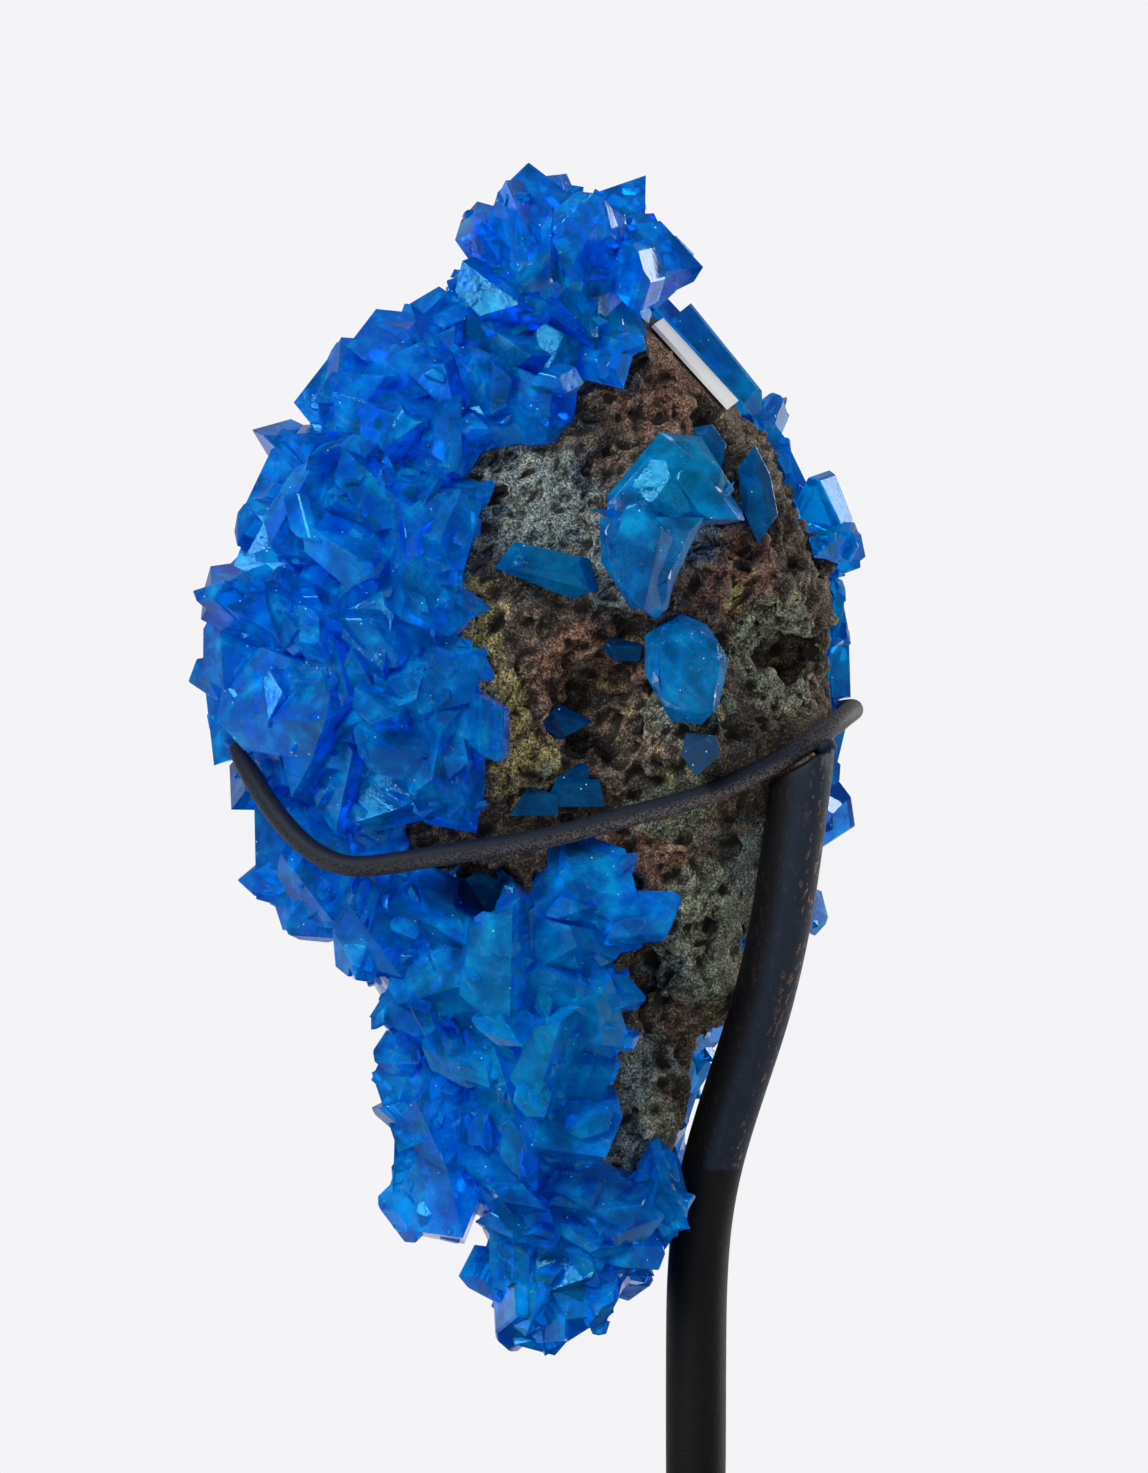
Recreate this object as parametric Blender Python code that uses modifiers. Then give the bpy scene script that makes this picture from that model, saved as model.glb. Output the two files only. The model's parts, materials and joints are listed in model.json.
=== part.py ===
"""A blue chalcanthite specimen, held on its stand by a bent wire.

+X is right, -Y is the side that shows the bare rock, and +Z is up. The origin is the
centre of the underside of the base. Lengths are in millimetres, and MM turns them into
Blender's metres.
"""

import math
import random

import bmesh
import bpy
from mathutils import Matrix, Vector, noise
from mathutils.bvhtree import BVHTree

MM = 0.001
GAP = 0.3

# Stand
BASE_SIZE = (80.0, 64.0, 12.0)
BASE_CHAMFER = 0.8
ROD_DIAMETER = 6.0
WIRE_DIAMETER = 2.2
SOCKET_DEPTH = 9.0

# The rod stands behind the tip of the specimen and bends forward beside the rock.
ROD_PATH = (
    (12.7, 1.0, BASE_SIZE[2] - SOCKET_DEPTH + GAP),
    (12.7, 1.0, 44.0),
    (13.1, 0.6, 53.3),
    (14.5, -1.4, 61.3),
    (16.9, -4.9, 69.3),
    (19.1, -8.1, 76.3),
    (20.9, -10.9, 84.3),
    (22.1, -12.9, 92.3),
    (23.6, -14.3, 103.5),
)

# The wire is one piece: near arm from its tip, bend on the right, far arm.
WIRE_PATH = (
    (-33.8, -10.0, 103.0),
    (-32.3, -12.6, 100.5),
    (-30.0, -15.6, 96.8),
    (-27.4, -17.8, 93.7),
    (-25.0, -19.0, 91.8),
    (-22.5, -19.8, 90.8),
    (-20.0, -20.3, 90.7),
    (-15.0, -20.8, 91.5),
    (-9.0, -20.6, 92.5),
    (-2.0, -20.0, 93.5),
    (5.8, -19.0, 95.8),
    (13.0, -17.7, 97.5),
    (18.2, -16.2, 99.8),
    (23.0, -14.3, 102.4),
    (26.4, -11.2, 104.8),
    (28.0, -7.0, 106.1),
    (28.7, -1.5, 106.4),
    (28.2, 4.5, 106.4),
    (25.7, 11.0, 106.0),
    (21.0, 17.0, 105.3),
    (13.5, 21.3, 104.2),
    (4.5, 23.3, 103.0),
    (-5.0, 23.8, 102.0),
    (-14.5, 22.8, 101.5),
    (-22.5, 19.8, 101.8),
    (-28.5, 15.2, 103.0),
    (-32.5, 10.0, 105.0),
)
WIRE_STEPS = 1
WIRE_TIP_TAPER = 0.55

# Height, left edge, right edge, near depth and far depth of the rock.
ROCK_SECTIONS = (
    (46.5, 0.0, 1.0, 0.5, 0.5),
    (51.0, -4.0, 5.0, 4.0, 4.0),
    (58.0, -8.0, 9.5, 7.0, 7.0),
    (65.0, -11.0, 11.5, 9.0, 9.0),
    (73.0, -13.0, 12.5, 11.0, 10.5),
    (81.0, -18.0, 17.0, 13.5, 12.5),
    (89.0, -23.5, 21.5, 16.0, 15.0),
    (97.0, -26.0, 25.0, 17.5, 17.0),
    (105.0, -29.0, 26.0, 18.5, 18.0),
    (113.0, -29.5, 26.5, 18.5, 18.0),
    (121.0, -27.5, 26.0, 17.5, 17.0),
    (129.0, -23.5, 22.0, 15.5, 15.0),
    (137.0, -18.5, 18.0, 13.0, 12.0),
    (144.0, -13.0, 12.5, 9.5, 9.0),
    (149.0, -4.5, 8.0, 6.0, 6.0),
    (153.5, 1.5, 3.5, 1.0, 1.0),
)
ROCK_POWER = 2.4

# Lumps, ledges and pits of the bare face: x, height, half width, half height, depth.
ROCK_FEATURES = (
    (5.0, 119.5, 14.0, 4.5, 2.4),
    (2.0, 107.5, 6.5, 7.0, -4.2),
    (-9.5, 87.8, 3.6, 2.6, -6.0),
    (21.5, 111.8, 3.4, 2.8, -5.0),
    (15.3, 134.6, 2.4, 2.4, -4.5),
    (-4.0, 127.5, 6.5, 5.0, 1.6),
    (8.5, 140.0, 4.0, 6.0, 1.2),
    (14.5, 104.0, 4.5, 5.5, 1.8),
    (6.5, 98.0, 5.0, 2.5, -2.0),
    (9.0, 88.0, 3.0, 7.0, 1.8),
    (14.5, 78.0, 3.6, 4.0, 2.0),
    (8.0, 79.0, 3.0, 3.6, -2.6),
    (7.5, 66.0, 3.0, 5.0, 1.6),
    (19.5, 119.0, 3.6, 3.0, 1.6),
    (-11.5, 113.0, 3.2, 4.0, 1.4),
)
ROCK_TRIANGLES_SHARE = 0.082
# Roughness of the rock: size and height of its lumps, pits and grain
LUMP_SIZE = 9.0
LUMP_HEIGHT = 1.5
PIT_SPACING = 3.4
PIT_RADIUS = 0.42
PIT_DEPTH = 1.3
GRAIN_SIZE = 1.7
GRAIN_HEIGHT = 0.5
FEATURE_FALL = 1.2
FEATURE_DEPTH_END = 2.0
RELIEF_UNDER_CRUST = 0.2

# Height and left edge of the bare face.
BARE_EDGE = (
    (57.0, 8.0),
    (58.5, 4.0),
    (62.0, 2.5),
    (65.3, 3.0),
    (70.0, 4.5),
    (73.3, 4.0),
    (77.3, 5.5),
    (81.3, 4.0),
    (85.3, 4.5),
    (88.0, -4.0),
    (90.5, -13.0),
    (93.3, -15.0),
    (97.3, -12.0),
    (101.3, -10.0),
    (105.3, -9.0),
    (109.3, -8.2),
    (112.3, -10.0),
    (115.3, -14.0),
    (120.3, -12.0),
    (123.8, -8.2),
    (127.3, -9.5),
    (130.8, -10.0),
    (133.3, -5.0),
    (137.3, -1.0),
    (140.3, 3.0),
    (144.3, 5.5),
    (149.5, 6.5),
)
# The bare face ends at these depths: on the left and top, and past the right edge.
BARE_DEPTH = -0.5
BARE_DEPTH_RIGHT = 4.0
BED_THICKNESS = 2.4
BED_LUMPS = 6.0
BED_SINK = 3.0

# Card label on the upper right of the rock
LABEL_SIZE = (11.3, 7.0, 0.4)
LABEL_CENTRE = Vector((12.6, -2.0, 141.2))
LABEL_NORMAL = Vector((0.725, -0.19, 0.661)).normalized()
LABEL_ALONG = Vector((0.674, 0.0, -0.739)).normalized()
LABEL_FLAT_RADIUS = 12.0

# Unit cell of the mineral: the edges' lengths, and the angles between them
CELL_EDGES = (6.14, 10.74, 5.99)
CELL_ANGLES = (97.6, 107.3, 77.4)

# Each habit gives its side faces as index and share of the half width, and its end
# faces as index and share of the length.
HABITS = {
    "wedge": (
        (((1, 1, 0), 1.0), ((1, -1, 0), 0.92)),
        (((1, -1, 1), 0.92), ((-1, 1, 1), 0.86)),
    ),
    "point": (
        (((1, 1, 0), 0.95), ((1, -1, 0), 0.95)),
        (((1, -1, 1), 0.84), ((-1, -1, 1), 0.88), ((0, 2, 1), 0.86)),
    ),
    "slant": (
        (((1, 1, 0), 1.0), ((1, -1, 0), 0.9), ((0, 1, 0), 1.0)),
        (((1, -1, 1), 0.8), ((-1, 0, 2), 0.95)),
    ),
    "blade": (
        (((1, 1, 0), 1.25), ((1, -1, 0), 0.45)),
        (((1, 1, 1), 0.85), ((-1, -1, 1), 0.9)),
    ),
}

# Crystals of the crust that show from the front. Each line: tip x, tip height, lean
# from upright (clockwise), tilt towards the viewer, reach above the rock, width, spin,
# habit.
CRUST_CRYSTALS = (
    (-4.6, 162.6, -5, 20, 12, 10.0, 20, "wedge"),
    (-8.5, 156.8, -35, 25, 11, 8.0, 70, "slant"),
    (4.4, 159.6, 8, 15, 10, 8.0, 140, "wedge"),
    (9.4, 157.6, 38, 10, 10, 6.0, 10, "point"),
    (12.0, 153.6, 62, 15, 11, 5.2, 50, "wedge"),
    (9.8, 149.2, 100, 30, 8, 5.2, 110, "slant"),
    (3.0, 152.8, 10, 65, 10, 9.0, 0, "slant"),
    (-2.0, 152.3, -10, 60, 11, 10.0, 40, "wedge"),
    (-7.0, 149.8, -20, 60, 10, 9.0, 80, "slant"),
    (7.0, 152.8, 40, 60, 9, 8.0, 120, "point"),
    (-9.5, 151.6, -38, 20, 9, 6.0, 15, "slant"),
    (2.5, 147.8, 160, 70, 8, 9.0, 60, "wedge"),
    (4.0, 143.8, 150, 55, 7, 8.0, 100, "slant"),
    (-2.5, 145.3, -160, 75, 9, 9.0, 30, "slant"),
    (-8.0, 144.3, -30, 75, 9, 9.0, 90, "wedge"),
    (-15.5, 149.0, -35, 10, 10, 6.0, 130, "blade"),
    (-13.0, 148.3, -20, 45, 9, 8.0, 20, "wedge"),
    (-20.5, 145.3, -50, 10, 10, 7.0, 60, "slant"),
    (-27.4, 140.2, -66, 5, 11, 5.0, 30, "wedge"),
    (-24.0, 136.6, -75, 20, 7, 5.0, 80, "point"),
    (-28.0, 134.8, -60, 15, 10, 7.0, 110, "wedge"),
    (-31.8, 130.8, -70, 10, 11, 8.0, 10, "slant"),
    (-33.2, 125.2, -80, 15, 9, 8.5, 50, "wedge"),
    (-35.7, 120.1, -60, 15, 11, 9.0, 95, "slant"),
    (-36.2, 116.3, -85, 10, 9, 8.0, 140, "wedge"),
    (-37.7, 110.1, -95, 5, 10, 8.0, 35, "point"),
    (-37.3, 104.2, -108, 10, 9, 8.0, 75, "wedge"),
    (-30.5, 106.3, -120, 50, 11, 12.0, 120, "slant"),
    (-25.0, 102.8, -160, 60, 11, 10.0, 5, "wedge"),
    (-34.5, 113.3, -80, 45, 9, 9.0, 45, "slant"),
    (-29.5, 117.3, -60, 55, 9, 9.0, 85, "wedge"),
    (-32.0, 122.3, -70, 40, 8, 8.0, 125, "point"),
    (-27.0, 127.3, -50, 50, 9, 9.0, 15, "slant"),
    (-24.0, 131.8, -40, 55, 10, 10.0, 55, "wedge"),
    (-19.5, 137.3, -40, 60, 9, 9.0, 100, "slant"),
    (-17.0, 142.3, -30, 60, 9, 9.0, 145, "wedge"),
    (-12.0, 141.3, 0, 75, 9, 8.0, 25, "point"),
    (-22.5, 141.8, -50, 30, 9, 7.0, 65, "slant"),
    (-14.0, 136.3, 20, 75, 9, 8.0, 105, "wedge"),
    (0.5, 138.6, 75, 35, 12, 8.0, 60, "blade"),
    (6.6, 140.6, 105, 32, 8, 4.6, 15, "slant"),
    (-10.0, 133.3, 110, 60, 8, 7.0, 35, "slant"),
    (-18.0, 129.3, 0, 75, 9, 10.0, 75, "slant"),
    (-13.0, 128.3, 60, 65, 8, 7.0, 115, "wedge"),
    (-8.5, 123.8, 95, 35, 10, 10.0, 5, "slant"),
    (-8.6, 116.2, 98, 32, 8, 6.0, 120, "wedge"),
    (-17.0, 121.3, -100, 75, 9, 10.0, 45, "wedge"),
    (-22.5, 123.3, -90, 65, 9, 9.0, 90, "slant"),
    (-23.5, 117.3, 180, 75, 8, 8.0, 130, "point"),
    (-17.5, 115.3, 90, 70, 8, 8.0, 20, "wedge"),
    (-19.5, 110.3, 0, 80, 6, 6.0, 60, "slant"),
    (-27.0, 111.3, -20, 65, 9, 8.0, 100, "wedge"),
    (-13.0, 111.3, 30, 65, 8, 9.0, 140, "slant"),
    (-8.0, 108.3, 85, 40, 10, 9.0, 30, "wedge"),
    (-10.5, 97.2, 165, 35, 11, 10.0, 70, "slant"),
    (-15.5, 102.3, -170, 70, 10, 10.0, 110, "slant"),
    (-19.5, 105.3, -150, 75, 9, 8.0, 150, "wedge"),
    (-22.5, 97.6, 180, 55, 9, 8.0, 25, "wedge"),
    (-29.5, 98.4, -150, 35, 10, 7.0, 65, "point"),
    (-34.8, 97.9, -118, 5, 9, 8.0, 105, "wedge"),
    (-17.5, 96.0, 180, 50, 7, 7.0, 145, "slant"),
    (-32.2, 92.0, -110, 10, 10, 8.0, 15, "wedge"),
    (-26.0, 87.8, -140, 45, 9, 9.0, 55, "slant"),
    (-29.8, 82.6, -148, 10, 12, 6.6, 95, "point"),
    (-24.0, 83.3, -150, 35, 9, 8.0, 135, "wedge"),
    (-22.6, 78.4, -160, 15, 11, 4.8, 20, "point"),
    (-19.0, 83.3, -160, 60, 9, 9.0, 60, "slant"),
    (-14.0, 84.6, 180, 70, 8, 8.0, 100, "wedge"),
    (-13.0, 78.8, -170, 60, 9, 9.0, 140, "slant"),
    (-5.0, 80.6, 160, 70, 9, 11.0, 30, "slant"),
    (-8.5, 75.3, 180, 65, 8, 8.0, 70, "wedge"),
    (3.0, 85.6, 60, 40, 9, 8.0, 110, "slant"),
    (-1.0, 88.0, 30, 60, 7, 7.0, 150, "wedge"),
    (7.0, 89.0, 75, 35, 9, 7.0, 25, "wedge"),
    (6.2, 76.8, 100, 30, 9, 8.0, 65, "slant"),
    (1.0, 78.8, 90, 65, 8, 8.0, 105, "wedge"),
    (4.5, 69.3, 110, 35, 8, 8.0, 145, "point"),
    (-1.0, 70.3, 170, 70, 9, 10.0, 15, "slant"),
    (-6.0, 67.3, -170, 70, 8, 9.0, 55, "wedge"),
    (-11.5, 71.3, -150, 55, 8, 8.0, 95, "slant"),
    (-20.3, 75.4, -108, 5, 10, 7.0, 135, "wedge"),
    (-21.2, 69.3, -112, 5, 10, 6.2, 35, "point"),
    (-19.2, 65.9, -115, 18, 9, 7.6, 75, "wedge"),
    (-15.4, 52.8, -158, 20, 14, 9.5, 115, "slant"),
    (-19.6, 60.8, -118, 18, 10, 8.6, 5, "wedge"),
    (-13.0, 64.0, -140, 55, 8, 8.0, 45, "slant"),
    (-7.0, 61.3, 180, 65, 8, 8.0, 85, "slant"),
    (-1.0, 62.0, 170, 65, 8, 8.0, 125, "wedge"),
    (-9.0, 53.3, -120, 30, 7, 6.0, 20, "wedge"),
    (-4.0, 55.3, -160, 60, 7, 7.0, 60, "slant"),
    (2.0, 55.8, 160, 65, 7, 7.0, 100, "wedge"),
    (7.0, 54.8, 120, 45, 7, 6.0, 140, "slant"),
    (10.3, 52.8, 165, 25, 8, 5.0, 30, "wedge"),
    (-10.6, 48.6, -112, 15, 8, 7.0, 70, "point"),
    (-7.0, 43.8, -145, 15, 9, 6.0, 110, "wedge"),
    (-3.5, 42.1, -175, 15, 10, 7.0, 150, "slant"),
    (1.0, 42.8, 165, 10, 10, 7.0, 25, "wedge"),
    (5.0, 46.1, 140, 15, 9, 6.0, 65, "slant"),
    (8.2, 50.3, 120, 15, 8, 6.0, 105, "wedge"),
    (-1.5, 48.3, 180, 55, 7, 7.0, 145, "slant"),
    (3.5, 49.8, 150, 55, 7, 6.0, 15, "point"),
    (-6.0, 48.8, -150, 50, 7, 6.0, 55, "wedge"),
)

# Crystals of the far side whose tips show past the right edge of the rock. Each line
# is as above, with the depth of the tip after its height.
EDGE_CRYSTALS = (
    (19.0, 4.5, 132.4, 141, 0, 13, 5.0, 20, "wedge"),
    (11.6, 5.5, 144.6, 25, -10, 7, 3.6, 60, "wedge"),
    (23.2, 3.0, 132.8, 62, 0, 9, 4.2, 100, "point"),
    (27.8, 3.0, 126.4, 52, -5, 11, 9.0, 140, "slant"),
    (27.6, 2.5, 120.2, 100, 0, 9, 5.0, 30, "wedge"),
    (28.2, 4.0, 116.2, 92, -12, 9, 5.0, 70, "slant"),
    (28.6, 4.5, 112.0, 95, -15, 9, 5.0, 110, "wedge"),
    (26.6, 5.5, 108.6, 105, -20, 8, 4.2, 150, "slant"),
    (26.2, 4.0, 86.9, 100, -10, 9, 4.8, 25, "wedge"),
    (15.2, 4.5, 73.4, 85, -15, 8, 4.4, 65, "wedge"),
    (14.6, 5.0, 69.0, 98, -15, 8, 4.2, 105, "point"),
    (12.8, 5.0, 64.8, 95, -15, 7, 4.2, 145, "wedge"),
)

# Crystals that stand by themselves on the bare rock, by node. Each is a block cut by
# flat faces: the centre's x and height, how far it stands out of the rock, and the lean,
# tilt and distance from the centre of each face.
LONE_CRYSTALS = {
    "front_cluster": (
        (9.8, 128.3, 7.0, (
            (-90, 0, 6.1), (-50, 0, 4.2), (6, 0, 5.4), (58, 0, 5.4), (137, 0, 4.6), (180, 0, 5.5),
            (-55, 52, 6.6), (25, 48, 6.7), (118, 46, 6.6), (-165, 55, 7.4),
        )),
        (7.5, 120.3, 6.0, (
            (-92, 0, 4.4), (-122, 0, 3.4), (180, 0, 4.0), (115, 0, 3.1), (0, 0, 5.0),
            (-110, 45, 5.2), (100, 50, 5.4), (170, 50, 5.8),
        )),
        (13.6, 132.9, 5.4, (
            (-72, 0, 2.0), (-8, 0, 1.8), (54, 0, 1.6), (101, 0, 2.0), (180, 0, 3.5),
            (60, 45, 4.4), (-40, 55, 5.1),
        )),
    ),
    "lens_crystal": (
        (-2.0, 120.2, 3.4, (
            (-51, 0, 4.4), (13, 0, 1.9), (72, 0, 4.0), (162, 0, 3.4), (-158, 0, 1.9),
            (10, 50, 3.4), (-165, 45, 3.1), (-60, 35, 4.8), (70, 35, 4.4),
        )),
    ),
    "blade_crystal": (
        (18.7, 127.8, 4.6, (
            (-97, 0, 1.7), (-56, 0, 3.0), (63, 0, 2.0), (79, 0, 1.6), (124, 0, 2.8), (-113, 0, 2.0),
            (75, 40, 3.4), (-80, 55, 4.3),
        )),
    ),
    "block_crystal": (
        (11.5, 110.3, 6.4, (
            (-90, 0, 4.1), (-30, 0, 5.0), (22, 0, 4.9), (58, 0, 4.1), (102, 0, 3.9),
            (130, 0, 4.7), (-174, 0, 5.3), (-119, 0, 3.8),
            (10, 45, 6.4), (-75, 50, 6.0), (95, 52, 6.2), (-170, 42, 6.4),
        )),
    ),
    "shadow_crystal": (
        (5.2, 112.1, 2.0, (
            (-58, 0, 1.8), (15, 0, 1.2), (97, 0, 1.9), (180, 0, 1.0), (-137, 0, 1.2),
            (0, 50, 1.9), (-120, 55, 2.1),
        )),
    ),
    "dark_crystal": (
        (-0.4, 105.1, 2.8, (
            (-45, 0, 1.7), (28, 0, 1.3), (151, 0, 1.3), (-143, 0, 1.8),
            (20, 50, 2.5), (-120, 50, 2.6),
        )),
    ),
    "grey_crystal": (
        (13.0, 102.0, 3.4, (
            (-78, 0, 1.9), (6, 0, 1.9), (74, 0, 1.9), (137, 0, 1.4), (-127, 0, 1.7),
            (-30, 50, 3.3), (110, 55, 3.2),
        )),
    ),
    "hollow_crystals": (
        (0.3, 98.2, 2.2, (
            (-63, 0, 2.0), (7, 0, 1.4), (80, 0, 2.8), (180, 0, 1.5), (-120, 0, 2.4),
            (0, 50, 2.2), (-70, 50, 2.5),
        )),
        (-3.4, 97.0, 1.8, (
            (-60, 0, 1.6), (20, 0, 1.5), (90, 0, 2.2), (180, 0, 1.2), (0, 55, 2.0),
        )),
    ),
}

# Crystals strewn over the far side
FAR_SEED = 11
FAR_SPACING = 9.0
FAR_WIDTHS = (7.5, 11.5)
FAR_REACHES = (6.0, 9.0)
FAR_TILT = 32.0
FAR_DEPTH = 1.5
FAR_DEPTH_RIGHT = 7.5
FAR_OVERHANG = 0.5
FAR_OVERHANG_LEFT = 4.5
WIRE_CLEARANCE = 4.0
CRUST_TRIANGLES_SHARE = 0.66

# A crystal's blank for its width and reach, and how much its faces differ
BLANK_WIDTH = 1.7
BLANK_LENGTH = 1.5
SIDE_SPREAD = (0.88, 1.12)
END_SPREAD = (0.93, 1.07)
SINK = 3.0
LONE_BLOCK = 24.0
RAY_START = -60.0
NEAR_SIDE = -4.0
LABEL_GAP = 0.5

for old in list(bpy.data.objects):
    bpy.data.objects.remove(old, do_unlink=True)

parts = bpy.data.collections.new("Chalcanthite specimen")
cutters = bpy.data.collections.new("Cutters")
bpy.context.scene.collection.children.link(parts)
bpy.context.scene.collection.children.link(cutters)


# Shared helpers
def material(name, colour, roughness, metallic=0.0, transmission=0.0):
    """A plain Principled material."""
    made = bpy.data.materials.new(name)
    made.use_nodes = True
    shader = made.node_tree.nodes["Principled BSDF"]
    shader.inputs["Base Color"].default_value = (*colour, 1.0)
    shader.inputs["Roughness"].default_value = roughness
    shader.inputs["Metallic"].default_value = metallic
    shader.inputs["Transmission Weight"].default_value = transmission
    return made


def add_object(name, mesh, collection=parts, finish=None):
    """A new object for a mesh, linked to one collection."""
    made = bpy.data.objects.new(name, mesh)
    collection.objects.link(made)
    if collection is cutters:
        made.hide_render = True
        made.display_type = "WIRE"
    if finish:
        mesh.materials.clear()
        mesh.materials.append(finish)
    return made


def mesh_from(bm, name):
    """Turns a bmesh into a mesh and frees it."""
    bmesh.ops.recalc_face_normals(bm, faces=bm.faces[:])
    mesh = bpy.data.meshes.new(name)
    bm.to_mesh(mesh)
    bm.free()
    return mesh


def evaluated_mesh(obj):
    """The mesh of an object with its modifiers applied."""
    graph = bpy.context.evaluated_depsgraph_get()
    return bpy.data.meshes.new_from_object(obj.evaluated_get(graph))


def bake(obj):
    """Applies an object's modifiers to its own mesh."""
    mesh = evaluated_mesh(obj)
    obj.modifiers.clear()
    obj.data = mesh
    return obj


def boolean(obj, operation, cutter=None, collection=None, folded=False):
    """Joins to an object, or cuts from it, another one or a whole collection."""
    step = obj.modifiers.new(operation.title(), "BOOLEAN")
    step.operation = operation
    step.solver = "EXACT"
    step.use_self = folded
    if collection:
        step.operand_type = "COLLECTION"
        step.collection = collection
    else:
        step.object = cutter
    return bake(obj)


def keep_largest_body(obj):
    """Leaves only the connected body that has the most faces."""
    bm = bmesh.new()
    bm.from_mesh(obj.data)
    bodies = []
    unseen = set(bm.verts)
    while unseen:
        stack = [unseen.pop()]
        body = set(stack)
        while stack:
            vertex = stack.pop()
            for edge in vertex.link_edges:
                other = edge.other_vert(vertex)
                if other in unseen:
                    unseen.remove(other)
                    body.add(other)
                    stack.append(other)
        bodies.append(body)
    bodies.sort(key=len)
    strays = [vertex for body in bodies[:-1] for vertex in body]
    bmesh.ops.delete(bm, geom=strays, context="VERTS")
    bm.to_mesh(obj.data)
    bm.free()
    return obj


def table_value(table, key):
    """Reads a table of (key, values...) rows by straight lines between its rows."""
    if key <= table[0][0]:
        return table[0][1:]
    for low, high in zip(table, table[1:]):
        if key <= high[0]:
            share = (key - low[0]) / (high[0] - low[0])
            return tuple(a + (b - a) * share for a, b in zip(low[1:], high[1:]))
    return table[-1][1:]


def smooth_path(points, steps):
    """Points on a smooth curve through the given ones."""
    ends = [points[0], *points, points[-1]]
    path = []
    for before, start, end, after in zip(ends, ends[1:], ends[2:], ends[3:]):
        p0, p1, p2, p3 = (Vector(p) for p in (before, start, end, after))
        for step in range(steps):
            t = step / steps
            path.append(
                0.5 * (
                    2 * p1
                    + (p2 - p0) * t
                    + (2 * p0 - 5 * p1 + 4 * p2 - p3) * t * t
                    + (3 * p1 - p0 - 3 * p2 + p3) * t * t * t
                )
            )
    path.append(Vector(points[-1]))
    return path


def tube(name, path, diameter, resolution, end_share=1.0):
    """A round bar along a path, made a mesh with its end caps welded."""
    curve = bpy.data.curves.new(name, "CURVE")
    curve.dimensions = "3D"
    curve.bevel_depth = diameter / 2 * MM
    curve.bevel_resolution = resolution
    curve.use_fill_caps = True
    spline = curve.splines.new("POLY")
    spline.points.add(len(path) - 1)
    for point, place in zip(spline.points, path):
        point.co = (*(place * MM), 1.0)
    spline.points[0].radius = end_share
    spline.points[len(path) - 1].radius = end_share
    drawn = bpy.data.objects.new(name + "_path", curve)
    parts.objects.link(drawn)
    bpy.context.view_layer.update()
    mesh = evaluated_mesh(drawn)
    mesh.transform(drawn.matrix_world)
    bpy.data.objects.remove(drawn, do_unlink=True)
    bm = bmesh.new()
    bm.from_mesh(mesh)
    bmesh.ops.remove_doubles(bm, verts=bm.verts[:], dist=0.00001)
    bm.to_mesh(mesh)
    bm.free()
    return mesh


def tree_of(obj):
    """A search tree of an object's mesh, for rays and nearest points."""
    bm = bmesh.new()
    bm.from_mesh(obj.data)
    found = BVHTree.FromBMesh(bm)
    bm.free()
    return found


# Rock
def is_covered(point):
    """True where crystals coat the rock, in millimetres."""
    if point.z < BARE_EDGE[0][0] or point.z > BARE_EDGE[-1][0]:
        return True
    if point.x < table_value(BARE_EDGE, point.z)[0]:
        return True
    left, right = table_value(ROCK_SECTIONS, point.z)[:2]
    on_right = point.x > (left + right) / 2
    return point.y > (BARE_DEPTH_RIGHT if on_right else BARE_DEPTH)


def rock_point(direction):
    """The place on the smooth body of the rock for a direction on the unit sphere."""
    low, high = ROCK_SECTIONS[0][0], ROCK_SECTIONS[-1][0]
    height = low + (high - low) * (direction.z + 1) / 2
    left, right, near, far = table_value(ROCK_SECTIONS, height)
    ring = math.hypot(direction.x, direction.y)
    if ring < 1e-6:
        return Vector(((left + right) / 2, 0.0, height))
    across, depth = direction.x / ring, direction.y / ring
    size = (abs(across) ** ROCK_POWER + abs(depth) ** ROCK_POWER) ** (-1 / ROCK_POWER)
    x = (left + right) / 2 + across * size * (right - left) / 2
    y = depth * size * (near if depth < 0 else far)
    return Vector((x, y, height))


def rock_body(subdivisions):
    """A sphere drawn out to the smooth body of the rock."""
    bm = bmesh.new()
    bmesh.ops.create_icosphere(bm, subdivisions=subdivisions, radius=1.0)
    for vertex in bm.verts:
        vertex.co = rock_point(vertex.co.normalized()) * MM
    bm.normal_update()
    return bm


def rock_relief(point):
    """How far the rough surface stands off the smooth body, in millimetres."""
    relief = LUMP_HEIGHT * noise.fractal(point / LUMP_SIZE, 0.8, 2.1, 4)
    if is_covered(point):
        relief *= RELIEF_UNDER_CRUST
    if point.y > FEATURE_DEPTH_END:
        return relief
    for x, height, half_width, half_height, depth in ROCK_FEATURES:
        far = ((point.x - x) / half_width) ** 2 + ((point.z - height) / half_height) ** 2
        relief += depth * math.exp(-far * FEATURE_FALL)
    if not is_covered(point):
        pit = noise.voronoi(point / PIT_SPACING)[0][0]
        relief -= PIT_DEPTH * max(0.0, PIT_RADIUS - pit) / PIT_RADIUS
        relief += GRAIN_HEIGHT * noise.noise(point / GRAIN_SIZE)
    return relief


def under_label(place, depth):
    """Presses a place down to a flat that lies this deep under the label's middle."""
    above = (place - LABEL_CENTRE).dot(LABEL_NORMAL) + depth
    if above > 0 and (place - LABEL_CENTRE).length < LABEL_FLAT_RADIUS:
        return place - LABEL_NORMAL * above
    return place


def build_rock(finish):
    """The rough stone, with a flat under the label."""
    bm = rock_body(6)
    for vertex in bm.verts:
        place = vertex.co / MM
        place += vertex.normal * rock_relief(place)
        vertex.co = under_label(place, LABEL_SIZE[2] / 2 + GAP) * MM
    rock = add_object("matrix", mesh_from(bm, "matrix"), parts, finish)
    thin = rock.modifiers.new("Thin", "DECIMATE")
    thin.ratio = ROCK_TRIANGLES_SHARE
    return bake(rock)


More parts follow.
